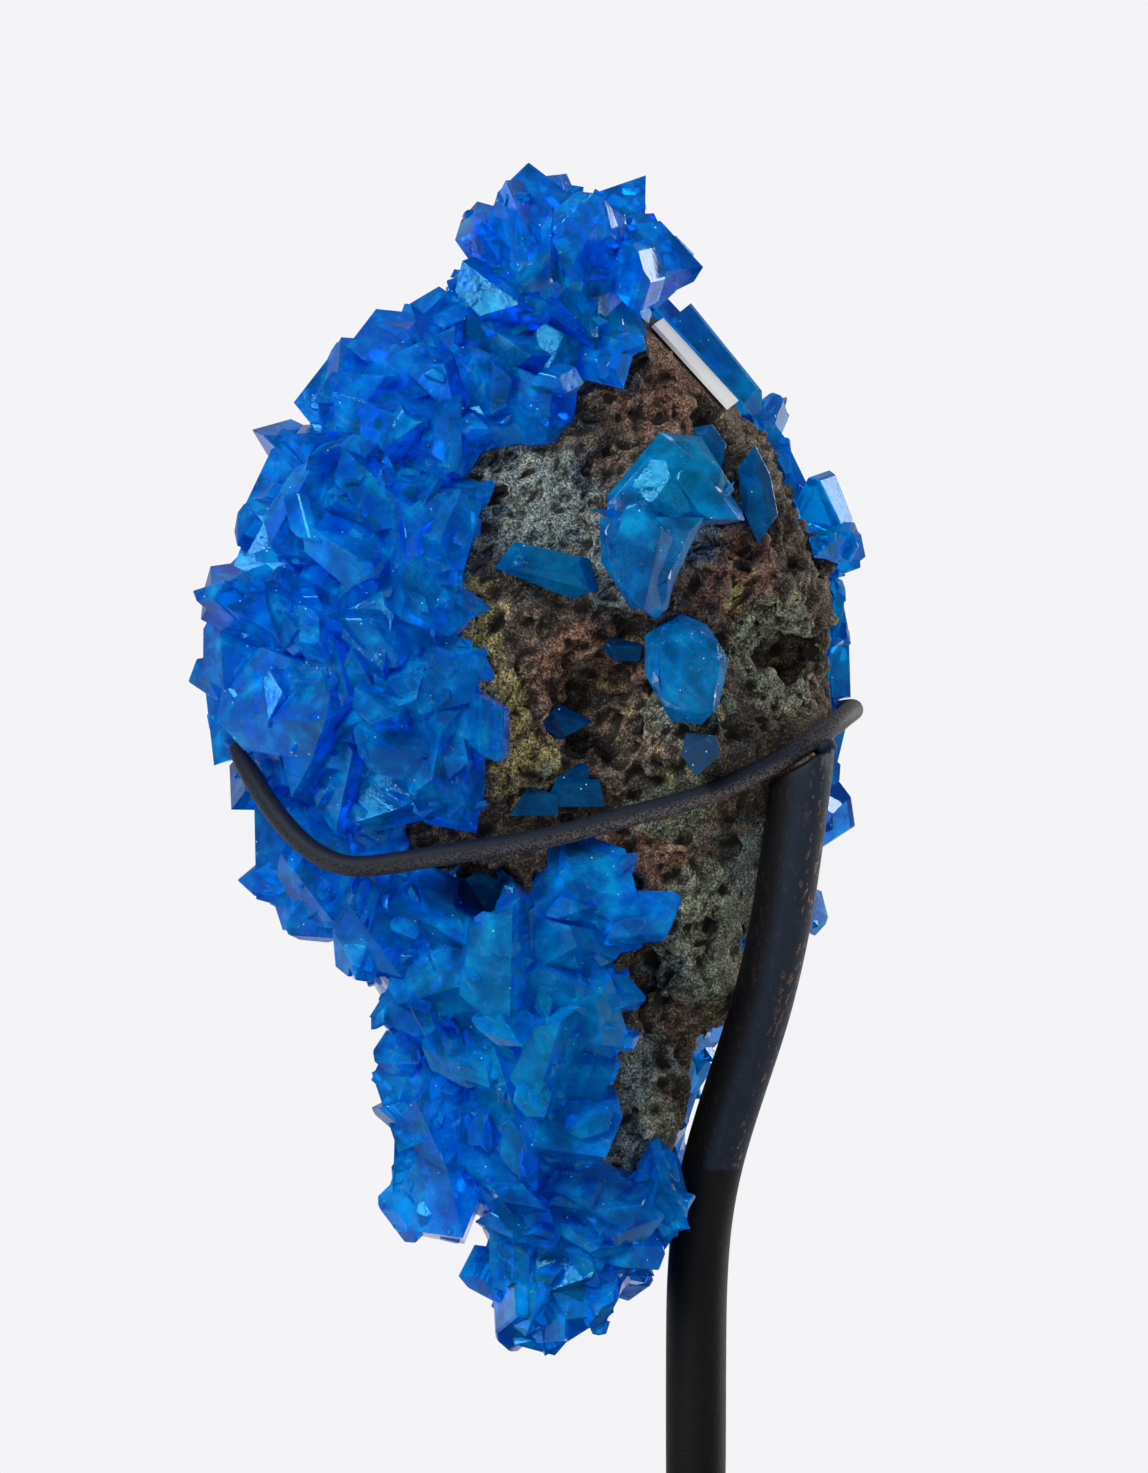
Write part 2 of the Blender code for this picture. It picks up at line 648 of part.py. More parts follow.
def swollen(obj, name, amount):
    """A copy of an object moved outwards along its normals, kept as a cutter."""
    mesh = obj.data.copy()
    normals = [vertex.normal.copy() for vertex in mesh.vertices]
    for vertex, normal in zip(mesh.vertices, normals):
        vertex.co += normal * amount * MM
    return add_object(name, mesh, cutters)


def build_bed():
    """The thin mass that the crust's crystals grow from, sunk where the rock is bare."""
    bm = rock_body(4)
    for vertex in bm.verts:
        place = vertex.co / MM
        rise = -BED_SINK
        if is_covered(place):
            rise = BED_THICKNESS + noise.noise(place / BED_LUMPS)
        place = under_label(place + vertex.normal * rise, -BED_THICKNESS / 2)
        vertex.co = place * MM
    return add_object("bed", mesh_from(bm, "bed"), cutters)


# Crystals
def cell_axes():
    """The three edges of the unit cell, the last one upright."""
    a, b, c = CELL_EDGES
    alpha, beta, gamma = (math.radians(angle) for angle in CELL_ANGLES)
    b_x = (math.cos(gamma) - math.cos(alpha) * math.cos(beta)) / math.sin(beta)
    b_y = math.sqrt(1 - b_x ** 2 - math.cos(alpha) ** 2)
    return (
        Vector((math.sin(beta), 0, math.cos(beta))) * a,
        Vector((b_x, b_y, math.cos(alpha))) * b,
        Vector((0, 0, c)),
    )


def face_normal(index):
    """The direction that a crystal face with these indices looks in."""
    a, b, c = cell_axes()
    h, k, l = index
    return (b.cross(c) * h + c.cross(a) * k + a.cross(b) * l).normalized()


def slice_off(bm, place, normal):
    """Cuts away what lies beyond a plane and closes the cut with one face."""
    everything = bm.verts[:] + bm.edges[:] + bm.faces[:]
    cut = bmesh.ops.bisect_plane(
        bm, geom=everything, dist=1e-7, plane_co=place, plane_no=normal, clear_outer=True
    )
    rim = [piece for piece in cut["geom_cut"] if isinstance(piece, bmesh.types.BMEdge)]
    if len(rim) > 2:
        bmesh.ops.edgeloop_fill(bm, edges=rim)


def crystal_mesh(name, width, reach, habit, chance):
    """A crystal that stands upright on the origin, bounded by the faces of its habit."""
    bm = bmesh.new()
    bmesh.ops.create_cube(bm, size=1.0)
    tall = reach * BLANK_LENGTH + SINK
    size = Matrix.Diagonal((width * BLANK_WIDTH, width * BLANK_WIDTH, tall, 1.0))
    bmesh.ops.transform(bm, matrix=size, verts=bm.verts)
    bmesh.ops.translate(bm, vec=(0, 0, tall / 2 - SINK), verts=bm.verts)
    sides, ends = HABITS[habit]
    for index, share in sides:
        normal = face_normal(index)
        for way in (1, -1):
            out = share * width / 2 * chance.uniform(*SIDE_SPREAD)
            slice_off(bm, normal * out * way, normal * way)
    for index, share in ends:
        normal = face_normal(index)
        top = Vector((0, 0, reach * share * chance.uniform(*END_SPREAD)))
        slice_off(bm, top, normal)
    bmesh.ops.scale(bm, vec=(MM, MM, MM), verts=bm.verts)
    return mesh_from(bm, name)


def growth_direction(lean, tilt):
    """A direction from its lean in the picture and its tilt towards the viewer."""
    lean, tilt = math.radians(lean), math.radians(tilt)
    flat = math.cos(tilt)
    return Vector((math.sin(lean) * flat, -math.sin(tilt), math.cos(lean) * flat))


def place_crystal(name, root, direction, width, reach, spin, habit, collection, chance):
    """Puts a crystal with its root at a place on the rock, pointing along a direction."""
    mesh = crystal_mesh(name, width, reach, habit, chance)
    turn = direction.to_track_quat("Z", "Y").to_matrix().to_4x4()
    spun = Matrix.Rotation(math.radians(spin), 4, "Z")
    mesh.transform(Matrix.Translation(root * MM) @ turn @ spun)
    return add_object(name, mesh, collection)


def front_root(tree, tip_x, tip_z, direction, reach):
    """The place on the near side of the rock that a crystal with this tip grows from."""
    x = tip_x - direction.x * reach
    z = tip_z - direction.z * reach
    start = Vector((x, RAY_START, z)) * MM
    hit = tree.ray_cast(start, Vector((0, 1, 0)))[0]
    if hit is None:
        hit = tree.find_nearest(Vector((x, NEAR_SIDE, z)) * MM)[0]
    return hit / MM


def strew_far_side(tree, wire_path, collection, chance):
    """Crystals spread over the far side, clear of the wire."""
    bm = rock_body(5)
    places = [(v.co / MM, v.normal.copy()) for v in bm.verts]
    bm.free()
    chance.shuffle(places)
    kept = []
    for place, normal in places:
        left, right = table_value(ROCK_SECTIONS, place.z)[:2]
        if place.y < (FAR_DEPTH if place.x < 0 else FAR_DEPTH_RIGHT):
            continue
        if any((place - other).length < FAR_SPACING for other in kept):
            continue
        reach = chance.uniform(*FAR_REACHES)
        tip = place + normal * reach
        room = min((tip - point).length for point in wire_path)
        if room < WIRE_CLEARANCE:
            continue
        if tip.x > right + FAR_OVERHANG or tip.x < left - FAR_OVERHANG_LEFT:
            continue
        kept.append(place)
        side = normal.orthogonal().normalized()
        side.rotate(Matrix.Rotation(chance.uniform(0, math.tau), 3, normal))
        tilt = Matrix.Rotation(math.radians(chance.uniform(0, FAR_TILT)), 3, side)
        direction = (tilt @ normal).normalized()
        root = tree.find_nearest(place * MM)[0] / MM
        habit = chance.choice(("wedge", "slant", "point", "slant", "wedge"))
        place_crystal(
            f"far_{len(kept):02d}", root, direction, chance.uniform(*FAR_WIDTHS),
            reach, chance.uniform(0, 360), habit, collection, chance,
        )


def build_crust(rock, rock_cutter, wire_path, finish):
    """Every crystal of the crust, joined into one solid that fits round the rock."""
    chance = random.Random(FAR_SEED)
    tree = tree_of(rock)
    grown = bpy.data.collections.new("Crust crystals")
    cutters.children.link(grown)
    for number, entry in enumerate(CRUST_CRYSTALS, 1):
        x, z, lean, tilt, reach, width, spin, habit = entry
        direction = growth_direction(lean, tilt)
        root = front_root(tree, x, z, direction, reach)
        place_crystal(
            f"crust_{number:02d}", root, direction, width, reach, spin, habit, grown, chance
        )
    for number, entry in enumerate(EDGE_CRYSTALS, 1):
        x, y, z, lean, tilt, reach, width, spin, habit = entry
        direction = growth_direction(lean, tilt)
        root = Vector((x, y, z)) - direction * reach
        place_crystal(
            f"edge_{number:02d}", root, direction, width, reach, spin, habit, grown, chance
        )
    strew_far_side(tree, wire_path, grown, chance)
    crust = build_bed()
    cutters.objects.unlink(crust)
    parts.objects.link(crust)
    crust.hide_render = False
    crust.display_type = "TEXTURED"
    crust.name = "crystal_crust"
    boolean(crust, "UNION", collection=grown)
    keep_largest_body(crust)
    thin = crust.modifiers.new("Thin", "DECIMATE")
    thin.ratio = CRUST_TRIANGLES_SHARE
    bake(crust)
    boolean(crust, "DIFFERENCE", cutter=rock_cutter, folded=True)
    for crystal in list(grown.objects):
        bpy.data.objects.remove(crystal, do_unlink=True)
    bpy.data.collections.remove(grown)
    crust.data.materials.clear()
    crust.data.materials.append(finish)
    return crust


def cut_block(name, middle, out, faces):
    """A block that stands on the rock at a place, cut by flat faces round its middle."""
    bm = bmesh.new()
    bmesh.ops.create_cube(bm, size=1.0)
    size = Matrix.Diagonal((LONE_BLOCK, out + SINK, LONE_BLOCK, 1.0))
    bmesh.ops.transform(bm, matrix=size, verts=bm.verts)
    bmesh.ops.translate(bm, vec=(0, (SINK - out) / 2, 0), verts=bm.verts)
    for lean, tilt, distance in faces:
        normal = growth_direction(lean, tilt)
        slice_off(bm, normal * distance, normal)
    bmesh.ops.translate(bm, vec=middle, verts=bm.verts)
    bmesh.ops.scale(bm, vec=(MM, MM, MM), verts=bm.verts)
    return add_object(name, mesh_from(bm, name))


def build_lone_crystals(rock, rock_cutter, finish):
    """The crystals that stand apart on the bare rock, joined where they touch."""
    tree = tree_of(rock)
    for name, blocks in LONE_CRYSTALS.items():
        pieces = []
        for x, z, out, faces in blocks:
            start = Vector((x, RAY_START, z)) * MM
            surface = tree.ray_cast(start, Vector((0, 1, 0)))[0] / MM
            pieces.append(cut_block(name, surface, out, faces))
        first = pieces[0]
        for other in pieces[1:]:
            boolean(first, "UNION", cutter=other)
            bpy.data.objects.remove(other, do_unlink=True)
        boolean(first, "DIFFERENCE", cutter=rock_cutter, folded=True)
        boolean(first, "DIFFERENCE", cutter=rock)
        first.name = name
        first.data.materials.clear()
        first.data.materials.append(finish)
        keep_largest_body(first)


# Label
def build_label(finish):
    """A thin blank card lying on the flat of the rock."""
    across = LABEL_NORMAL.cross(LABEL_ALONG).normalized()
    along = across.cross(LABEL_NORMAL).normalized()
    bm = bmesh.new()
    bmesh.ops.create_cube(bm, size=1.0)
    bmesh.ops.scale(bm, vec=Vector(LABEL_SIZE) * MM, verts=bm.verts)
    turn = Matrix((along, across, LABEL_NORMAL)).transposed().to_4x4()
    place = Matrix.Translation(LABEL_CENTRE * MM) @ turn
    bmesh.ops.transform(bm, matrix=place, verts=bm.verts)
    return add_object("label", mesh_from(bm, "label"), parts, finish)


# Stand
def build_post(finish):
    """The bent rod, its top cut to lie along the underside of the wire."""
    path = [Vector(ROD_PATH[0]), *smooth_path(ROD_PATH[1:], 2)]
    mesh = tube("post", path, ROD_DIAMETER, 4)
    top = Vector(WIRE_PATH[13])
    rise = (Vector(WIRE_PATH[14]) - Vector(WIRE_PATH[12])).normalized()
    out = Vector((-rise.z, 0.0, rise.x)).normalized()
    bm = bmesh.new()
    bm.from_mesh(mesh)
    slice_off(bm, (top - out * (WIRE_DIAMETER / 2 + GAP)) * MM, out)
    return add_object("post", mesh_from(bm, "post"), parts, finish)


def build_wire(finish):
    """The claw: one wire that goes round the specimen and ends in two hooks."""
    path = smooth_path(WIRE_PATH, WIRE_STEPS)
    mesh = tube("wire_claw", path, WIRE_DIAMETER, 2, WIRE_TIP_TAPER)
    return add_object("wire_claw", mesh, parts, finish)


def build_wire_room(path):
    """The room that the crystals and the rock leave for the wire, open past its ends."""
    first = path[0] + (path[0] - path[1]).normalized()
    last = path[-1] + (path[-1] - path[-2]).normalized()
    mesh = tube("wire_room", [first, *path, last], WIRE_DIAMETER + 2 * GAP, 2)
    return add_object("wire_room", mesh, cutters)


def build_base(finish):
    """The foot: a block with eased edges and a socket for the rod."""
    bpy.ops.mesh.primitive_cube_add(size=1.0, location=(0, 0, BASE_SIZE[2] / 2 * MM))
    base = bpy.context.active_object
    base.name = "base"
    base.scale = Vector(BASE_SIZE) * MM
    bpy.ops.object.transform_apply(location=True, rotation=False, scale=True)
    for home in list(base.users_collection):
        home.objects.unlink(base)
    parts.objects.link(base)
    base.data.materials.append(finish)
    edges = base.modifiers.new("Eased edges", "BEVEL")
    edges.width = BASE_CHAMFER * MM
    edges.segments = 2
    bm = bmesh.new()
    depth = SOCKET_DEPTH * 2
    radius = (ROD_DIAMETER / 2 + GAP) * MM
    bmesh.ops.create_cone(
        bm, cap_ends=True, segments=16, radius1=radius, radius2=radius, depth=depth * MM
    )
    place = Vector((ROD_PATH[0][0], ROD_PATH[0][1], BASE_SIZE[2])) * MM
    bmesh.ops.translate(bm, vec=place, verts=bm.verts)
    socket = add_object("socket", mesh_from(bm, "socket"), cutters)
    boolean(base, "DIFFERENCE", cutter=socket)


rock_finish = material("Matrix rock", (0.13, 0.10, 0.07), 0.9)
crystal_finish = material("Blue crystal", (0.0, 0.12, 0.65), 0.12, transmission=0.6)
metal_finish = material("Black coated steel", (0.02, 0.022, 0.028), 0.5)
card_finish = material("White card", (0.85, 0.84, 0.82), 0.8)

claw_path = smooth_path(WIRE_PATH, WIRE_STEPS)
build_wire(metal_finish)
post = build_post(metal_finish)
build_base(metal_finish)
label = build_label(card_finish)
wire_room = build_wire_room(claw_path)
post_room = swollen(post, "post_room", GAP)
label_room = swollen(label, "label_room", LABEL_GAP)

matrix = build_rock(rock_finish)
for room in (wire_room, post_room):
    boolean(matrix, "DIFFERENCE", cutter=room)
keep_largest_body(matrix)
rock_room = swollen(matrix, "rock_room", GAP)

crust = build_crust(matrix, rock_room, claw_path, crystal_finish)
for room in (wire_room, post_room, label_room):
    boolean(crust, "DIFFERENCE", cutter=room)
keep_largest_body(crust)
build_lone_crystals(matrix, rock_room, crystal_finish)
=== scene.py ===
# %% [markdown]
# # A blue chalcanthite specimen on a wire stand
#
# Chalcanthite is copper sulphate that has taken up water: clear blue crystals that grow
# on damp rock. This specimen is a porous brown stone with a crust of such crystals. A
# wire claw on a black rod holds it up.
#
# The packed model comes first. It says where every piece is, in metres, so nothing below
# has to be fitted.

# %% Load the frame
import json
import math
import random

import bpy
from mathutils import Matrix, Vector
from mathutils.bvhtree import BVHTree

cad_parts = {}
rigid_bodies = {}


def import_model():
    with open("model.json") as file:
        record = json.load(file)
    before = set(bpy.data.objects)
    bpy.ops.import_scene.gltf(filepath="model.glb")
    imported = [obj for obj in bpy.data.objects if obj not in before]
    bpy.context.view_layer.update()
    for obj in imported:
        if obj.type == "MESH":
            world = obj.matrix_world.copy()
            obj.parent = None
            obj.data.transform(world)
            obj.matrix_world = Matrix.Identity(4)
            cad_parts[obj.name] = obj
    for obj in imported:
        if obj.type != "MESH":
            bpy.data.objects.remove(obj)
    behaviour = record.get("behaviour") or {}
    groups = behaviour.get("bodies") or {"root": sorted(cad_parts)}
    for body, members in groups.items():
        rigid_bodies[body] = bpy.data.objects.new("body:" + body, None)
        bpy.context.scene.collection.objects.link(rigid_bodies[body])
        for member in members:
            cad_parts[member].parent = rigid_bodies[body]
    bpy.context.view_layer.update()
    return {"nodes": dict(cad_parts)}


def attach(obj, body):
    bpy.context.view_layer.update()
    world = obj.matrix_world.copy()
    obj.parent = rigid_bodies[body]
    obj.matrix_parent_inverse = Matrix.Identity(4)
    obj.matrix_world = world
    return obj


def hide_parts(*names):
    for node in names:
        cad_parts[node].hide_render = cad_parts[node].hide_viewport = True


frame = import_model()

MM = 0.001
nodes = frame["nodes"]
BACKWARDS = Vector((0, 1, 0))
IN_FRONT = -60.0
print("nodes:", ", ".join(sorted(nodes)))

# %% [markdown]
# ## The camera
#
# The photograph looks at the specimen from the front, level with its middle. A long lens
# far away gives the same flat view. The frame is 147.3 mm tall where the rock's near face
# stands, so the lens follows from the distance.

# %% Camera
FRAME_HEIGHT = 147.3 * MM
FRAME_CENTRE = Vector((0.4, -10.0, 103.65)) * MM
CAMERA_DISTANCE = 1.1
SENSOR = 36.0

camera_data = bpy.data.cameras.new("camera")
camera_data.sensor_width = SENSOR
camera_data.lens = SENSOR * CAMERA_DISTANCE / FRAME_HEIGHT
camera_data.clip_start = 0.05
camera_data.clip_end = 60.0
camera = bpy.data.objects.new("camera", camera_data)
bpy.context.scene.collection.objects.link(camera)
camera.location = FRAME_CENTRE + Vector((0, -CAMERA_DISTANCE, 0))
camera.rotation_euler = (math.radians(90), 0, 0)
bpy.context.scene.camera = camera
print("lens", round(camera_data.lens, 1), "mm")

# %% [markdown]
# ## The way of working
#
# Blender's operators act on what is selected, so each step starts by selecting one piece
# and nothing else. These helpers keep that in one place. `merged_copy` takes a copy of a
# node of the model and joins its loose triangles, which makes it ready to be modelled on.

# %% Helpers for selecting, copying and finishing
def only(piece):
    """Selects one piece and nothing else, in object mode."""
    if bpy.context.object and bpy.context.object.mode != "OBJECT":
        bpy.ops.object.mode_set(mode="OBJECT")
    bpy.ops.object.select_all(action="DESELECT")
    piece.select_set(True)
    bpy.context.view_layer.objects.active = piece


def edit(piece, select="SELECT"):
    """Goes into edit mode on one piece, with all of it selected or none."""
    only(piece)
    bpy.ops.object.mode_set(mode="EDIT")
    bpy.ops.mesh.select_all(action=select)


def leave_edit():
    """Goes back to object mode."""
    bpy.ops.object.mode_set(mode="OBJECT")


def modify(piece, kind, **settings):
    """Adds a modifier to a piece and applies it."""
    only(piece)
    step = piece.modifiers.new(kind.title(), kind)
    for setting, value in settings.items():
        setattr(step, setting, value)
    bpy.ops.object.modifier_apply(modifier=step.name)


def merged_copy(node, name):
    """A copy of a node of the model with its triangles joined at their corners."""
    piece = bpy.data.objects.new(name, nodes[node].data.copy())
    bpy.context.scene.collection.objects.link(piece)
    piece.data.materials.clear()
    edit(piece)
    bpy.ops.mesh.remove_doubles(threshold=0.002 * MM)
    bpy.ops.mesh.customdata_custom_splitnormals_clear()
    bpy.ops.mesh.faces_shade_flat()
    leave_edit()
    return piece


def triangles(piece):
    """How many triangles a piece has."""
    piece.data.calc_loop_triangles()
    return len(piece.data.loop_triangles)


def tree_of(piece):
    """A search tree of a piece's surface."""
    verts = [vertex.co for vertex in piece.data.vertices]
    faces = [tuple(face.vertices) for face in piece.data.polygons]
    return BVHTree.FromPolygons(verts, faces)


def seen_from_front(tree, x, z):
    """The nearest place of a surface behind a point of the camera's view."""
    return tree.ray_cast(Vector((x, IN_FRONT, z)) * MM, BACKWARDS)[0]


def twin(piece, name):
    """A copy of a piece with its own mesh."""
    copy = piece.copy()
    copy.data = piece.data.copy()
    copy.name = name
    bpy.context.scene.collection.objects.link(copy)
    return copy


def finished(piece, finish, node):
    """Gives a piece its material, sets it on the root body and hides the node that it stands
    for.
    """
    piece.data.materials.clear()
    piece.data.materials.append(finish)
    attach(piece, "root")
    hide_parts(node)
    print(piece.name, triangles(piece), "triangles")


# %% [markdown]
# Five nodes are copied at once. Two of them, the rock and the crust, are modelled on later.
# Search trees of the solids tell how far a place is from the rock, the stand and the card.

# %% Copies and search trees
rock_solid = merged_copy("matrix", "rock_solid")
crust_solid = merged_copy("crystal_crust", "crust_solid")
wire_solid = merged_copy("wire_claw", "wire_solid")
post_solid = merged_copy("post", "post_solid")
label_solid = merged_copy("label", "label_solid")
rock_tree = tree_of(rock_solid)
stand_trees = [tree_of(wire_solid), tree_of(post_solid)]
label_tree = tree_of(label_solid)
print("rock", triangles(rock_solid), "and crust", triangles(crust_solid), "triangles")

# %% [markdown]
# ## A short way to wire up materials
#
# A material here is a chain of nodes. Writing each node and each link out by hand hides
# the idea, so this small class adds a node with its settings and plugs its inputs in one
# line. Every pattern reads Object coordinates, which stay fixed to the piece.

# %% Material helper
class Finish:
    """A Principled material, with a one-line way to add nodes to it."""

    def __init__(self, name):
        self.material = bpy.data.materials.new(name)
        self.material.use_nodes = True
        self.tree = self.material.node_tree
        self.shader = self.tree.nodes["Principled BSDF"]
        self.place = self.add("TexCoord").outputs["Object"]

    def add(self, kind, inputs=(), **settings):
        """A node of a kind, its settings, and its inputs as values or other sockets."""
        node = self.tree.nodes.new("ShaderNode" + kind)
        for setting, value in settings.items():
            setattr(node, setting, value)
        for key, value in dict(inputs).items():
            self.plug(value, node.inputs[key])
        return node

    def plug(self, value, socket):
        """Sets a socket to a value or links another socket to it."""
        if isinstance(value, bpy.types.NodeSocket):
            self.tree.links.new(value, socket)
        elif isinstance(value, tuple) and len(value) == 3 and socket.type == "RGBA":
            socket.default_value = (*value, 1.0)
        else:
            socket.default_value = value

    def set(self, **inputs):
        """Sets the shader's own inputs; an underscore stands for a space."""
        for key, value in inputs.items():
            self.plug(value, self.shader.inputs[key.replace("_", " ")])

    def noise(self, size, detail=4.0, roughness=0.55, place=None):
        """Soft noise with features of a size in millimetres."""
        inputs = {
            "Vector": place or self.place, "Scale": 1 / (size * MM),
            "Detail": detail, "Roughness": roughness,
        }
        return self.add("TexNoise", inputs).outputs["Fac"]

    def cells(self, size, feature="F1", place=None, output="Distance"):
        """Cells of a size in millimetres."""
        inputs = {"Vector": place or self.place, "Scale": 1 / (size * MM)}
        return self.add("TexVoronoi", inputs, feature=feature).outputs[output]

    def remap(self, value, low, high, to_low=0.0, to_high=1.0):
        """Stretches a value from one range to another and clamps it."""
        inputs = {0: value, 1: low, 2: high, 3: to_low, 4: to_high}
        return self.add("MapRange", inputs).outputs[0]

    def math(self, operation, a, b=0.0):
        """One sum on two values."""
        return self.add("Math", {0: a, 1: b}, operation=operation).outputs[0]

    def blend(self, share, a, b):
        """Goes from colour a to colour b."""
        return self.add("Mix", {0: share, 6: a, 7: b}, data_type="RGBA").outputs[2]

    def near(self, centre, radius, soft):
        """One within a radius of a place in millimetres, falling to zero outside it."""
        away = self.add(
            "VectorMath", {0: self.place, 1: tuple(c * MM for c in centre)},
            operation="DISTANCE",
        ).outputs["Value"]
        return self.remap(away, radius * MM, (radius + soft) * MM, 1.0, 0.0)

    def bump(self, *layers):
        """Stacks height layers, each given as (height, depth in millimetres)."""
        normal = None
        for height, depth in layers:
            inputs = {"Height": height, "Distance": depth * MM, "Strength": 1.0}
            if normal:
                inputs["Normal"] = normal
            normal = self.add("Bump", inputs).outputs[0]
        self.plug(normal, self.shader.inputs["Normal"])


print("a finish has", ", ".join(name for name in vars(Finish) if name[0] != "_"))

# %% [markdown]
# ## The rock
#
# The stone is a porous brown rock with lumps, ledges and holes. The model has its main
# forms as flat faces. A voxel remesh turns them into an even fine net, smoothing takes the
# flat faces away, and displacement by several textures, coarse to fine, adds lumps, pits
# and grain as real geometry. Displacement is chosen over bump alone because the holes cast
# shadows and show at the edge.

# %% Rock: sizes, holes and layers
ROCK_VOXEL = 0.46 * MM
ROCK_ROUNDS = 8
STAND_CLEAR = (0.5 * MM, 3.0 * MM)
# Where the front is pitted: across, height, radius, and how deep for its width
HOLES = (
    (21.6, 111.8, 3.0, 1.0), (13.9, 136.2, 2.0, 1.2), (2.5, 107.0, 5.0, 0.6),
    (-0.8, 135.6, 1.3, 1.0), (5.4, 140.0, 1.2, 1.0), (8.6, 136.8, 1.1, 1.0),
    (17.4, 121.6, 1.4, 0.9), (23.2, 117.6, 1.4, 0.9), (22.6, 108.2, 1.5, 1.0),
    (9.2, 89.4, 1.4, 1.0), (13.2, 84.4, 1.4, 1.0), (7.2, 79.0, 2.4, 0.9),
    (9.4, 75.6, 1.7, 1.0), (4.6, 102.4, 1.8, 1.0), (15.6, 92.0, 1.5, 1.0),
    (-7.4, 127.4, 0.9, 1.0), (-4.2, 110.8, 1.2, 1.0), (6.6, 63.6, 1.2, 1.0),
    (17.9, 113.6, 1.1, 1.0), (-1.4, 121.6, 0.8, 1.0), (12.2, 100.6, 1.2, 0.9),
)
# Texture, its noise, its size, its depth, the value that stays, contrast, brightness
ROCK_LAYERS = (
    ("CLOUDS", "SOFT_NOISE", 8.0, 2.0, 0.56, 1.0, 1.0),
    ("VORONOI", None, 4.6, 0.6, 1.0, 3.0, 1.8),
    ("CLOUDS", "HARD_NOISE", 3.2, 1.9, 0.5, 1.1, 1.0),
    ("VORONOI", None, 2.2, 0.35, 1.0, 3.0, 1.7),
    ("CLOUDS", "HARD_NOISE", 1.2, 0.85, 0.5, 1.3, 1.0),
)
FREE = "free of the stand"
print(len(HOLES), "holes and", len(ROCK_LAYERS), "layers of roughness")

# %% [markdown]
# The larger holes are cut with balls, each set on the surface where the photograph shows
# one. A collection of cutters goes in one boolean, which is quicker than one at a time.

# %% Rock: cut the holes
rock = twin(rock_solid, "rough_rock")
holes = bpy.data.collections.new("holes")
bpy.context.scene.collection.children.link(holes)
for x, z, radius, depth in HOLES:
    mouth = seen_from_front(rock_tree, x, z)
    bpy.ops.mesh.primitive_ico_sphere_add(subdivisions=2, radius=radius * MM, location=mouth)
    hole = bpy.context.object
    hole.scale.y = depth
    bpy.ops.object.transform_apply(location=True, rotation=False, scale=True)
    holes.objects.link(hole)
modify(
    rock, "BOOLEAN", operation="DIFFERENCE", solver="MANIFOLD",
    operand_type="COLLECTION", collection=holes,
)
for hole in list(holes.objects):
    bpy.data.objects.remove(hole)
print("rock with holes", triangles(rock), "triangles")

# %% [markdown]
# The roughness must not swallow the wire, the rod or the card. A vertex group holds it back
# near them: no displacement within the first distance, all of it beyond the second.

# %% Rock: fine net and roughness
modify(rock, "REMESH", mode="VOXEL", voxel_size=ROCK_VOXEL)
modify(rock, "SMOOTH", factor=0.5, iterations=ROCK_ROUNDS)

free = rock.vertex_groups.new(name=FREE)
near, far = STAND_CLEAR
for vertex in rock.data.vertices:
    room = min(tree.find_nearest(vertex.co)[3] for tree in stand_trees)
    room = min(room, label_tree.find_nearest(vertex.co)[3])
    free.add([vertex.index], max(0.0, min(1.0, (room - near) / (far - near))), "REPLACE")

for number, (kind, grain, size, depth, still, contrast, level) in enumerate(ROCK_LAYERS, 1):
    texture = bpy.data.textures.new(f"rock layer {number}", kind)
    texture.noise_scale = size * MM
    texture.contrast = contrast
    texture.intensity = level
    if grain:
        texture.noise_type = grain
        texture.noise_depth = 2
    modify(
        rock, "DISPLACE", texture=texture, texture_coords="LOCAL", strength=depth * MM,
        mid_level=still, vertex_group=FREE,
    )
rock.vertex_groups.clear()
only(rock)
bpy.ops.object.shade_smooth()
print("rock", triangles(rock), "triangles")

# %% [markdown]
# ### The rock's finish
#
# The stone isn't one brown. A grey-green bloom covers its upper left, an ochre crust lies
# beside the crystals and the ledges are reddish; the recesses are painted nearly black as
# shade. Each patch is a soft ball round a place on the rock, frayed by noise, so that its
# edge wanders.

# %% Rock colours
DARK = (0.012, 0.009, 0.007)
BROWN = (0.15, 0.100, 0.068)
RED_BROWN = (0.23, 0.105, 0.062)
OCHRE = (0.44, 0.37, 0.13)
GREY_GREEN = (0.17, 0.22, 0.21)
DULL_GREEN = (0.20, 0.23, 0.16)
LIGHT_GRAIN = (0.62, 0.60, 0.48)
COPPER_STAIN = (0.10, 0.21, 0.21)
# Recesses painted dark as shade
PAINTED_ROCK_SHADE_PLACES = (
    (2, -18, 107, 5), (-2, -16, 136, 5), (20, -14, 111, 4), (9, -16, 98, 4),
    (14, -13, 135, 3), (8, -12, 79, 4), (-3, -19, 98, 4), (16, -14, 104, 3),
    (-9, -14, 89, 5),
)
# Colour, and the patches that carry it: centre and radius in millimetres
ROCK_PATCHES = (
    (RED_BROWN, ((2, -18, 109, 7), (10, -12, 141, 8), (7, -17, 91, 6), (16, -14, 121, 6))),
    (DULL_GREEN, ((15, -12, 84, 9), (22, -12, 112, 7), (7, -8, 62, 7), (12, -14, 106, 5),
                  (10, -14, 97, 5))),
    (GREY_GREEN, ((-4, -17, 127, 8), (5, -18, 121, 6), (11, -15, 124, 5), (6, -8, 62, 4),
                  (8, -11, 71, 5), (18, -9, 92, 5))),
    (OCHRE, ((-11, -18, 115, 5), (-9, -19, 106, 6), (-4, -19, 100, 5), (16, -15, 118, 2),
             (-1, -17, 136, 2), (3, -18, 128, 2), (9, -16, 117, 2))),
)


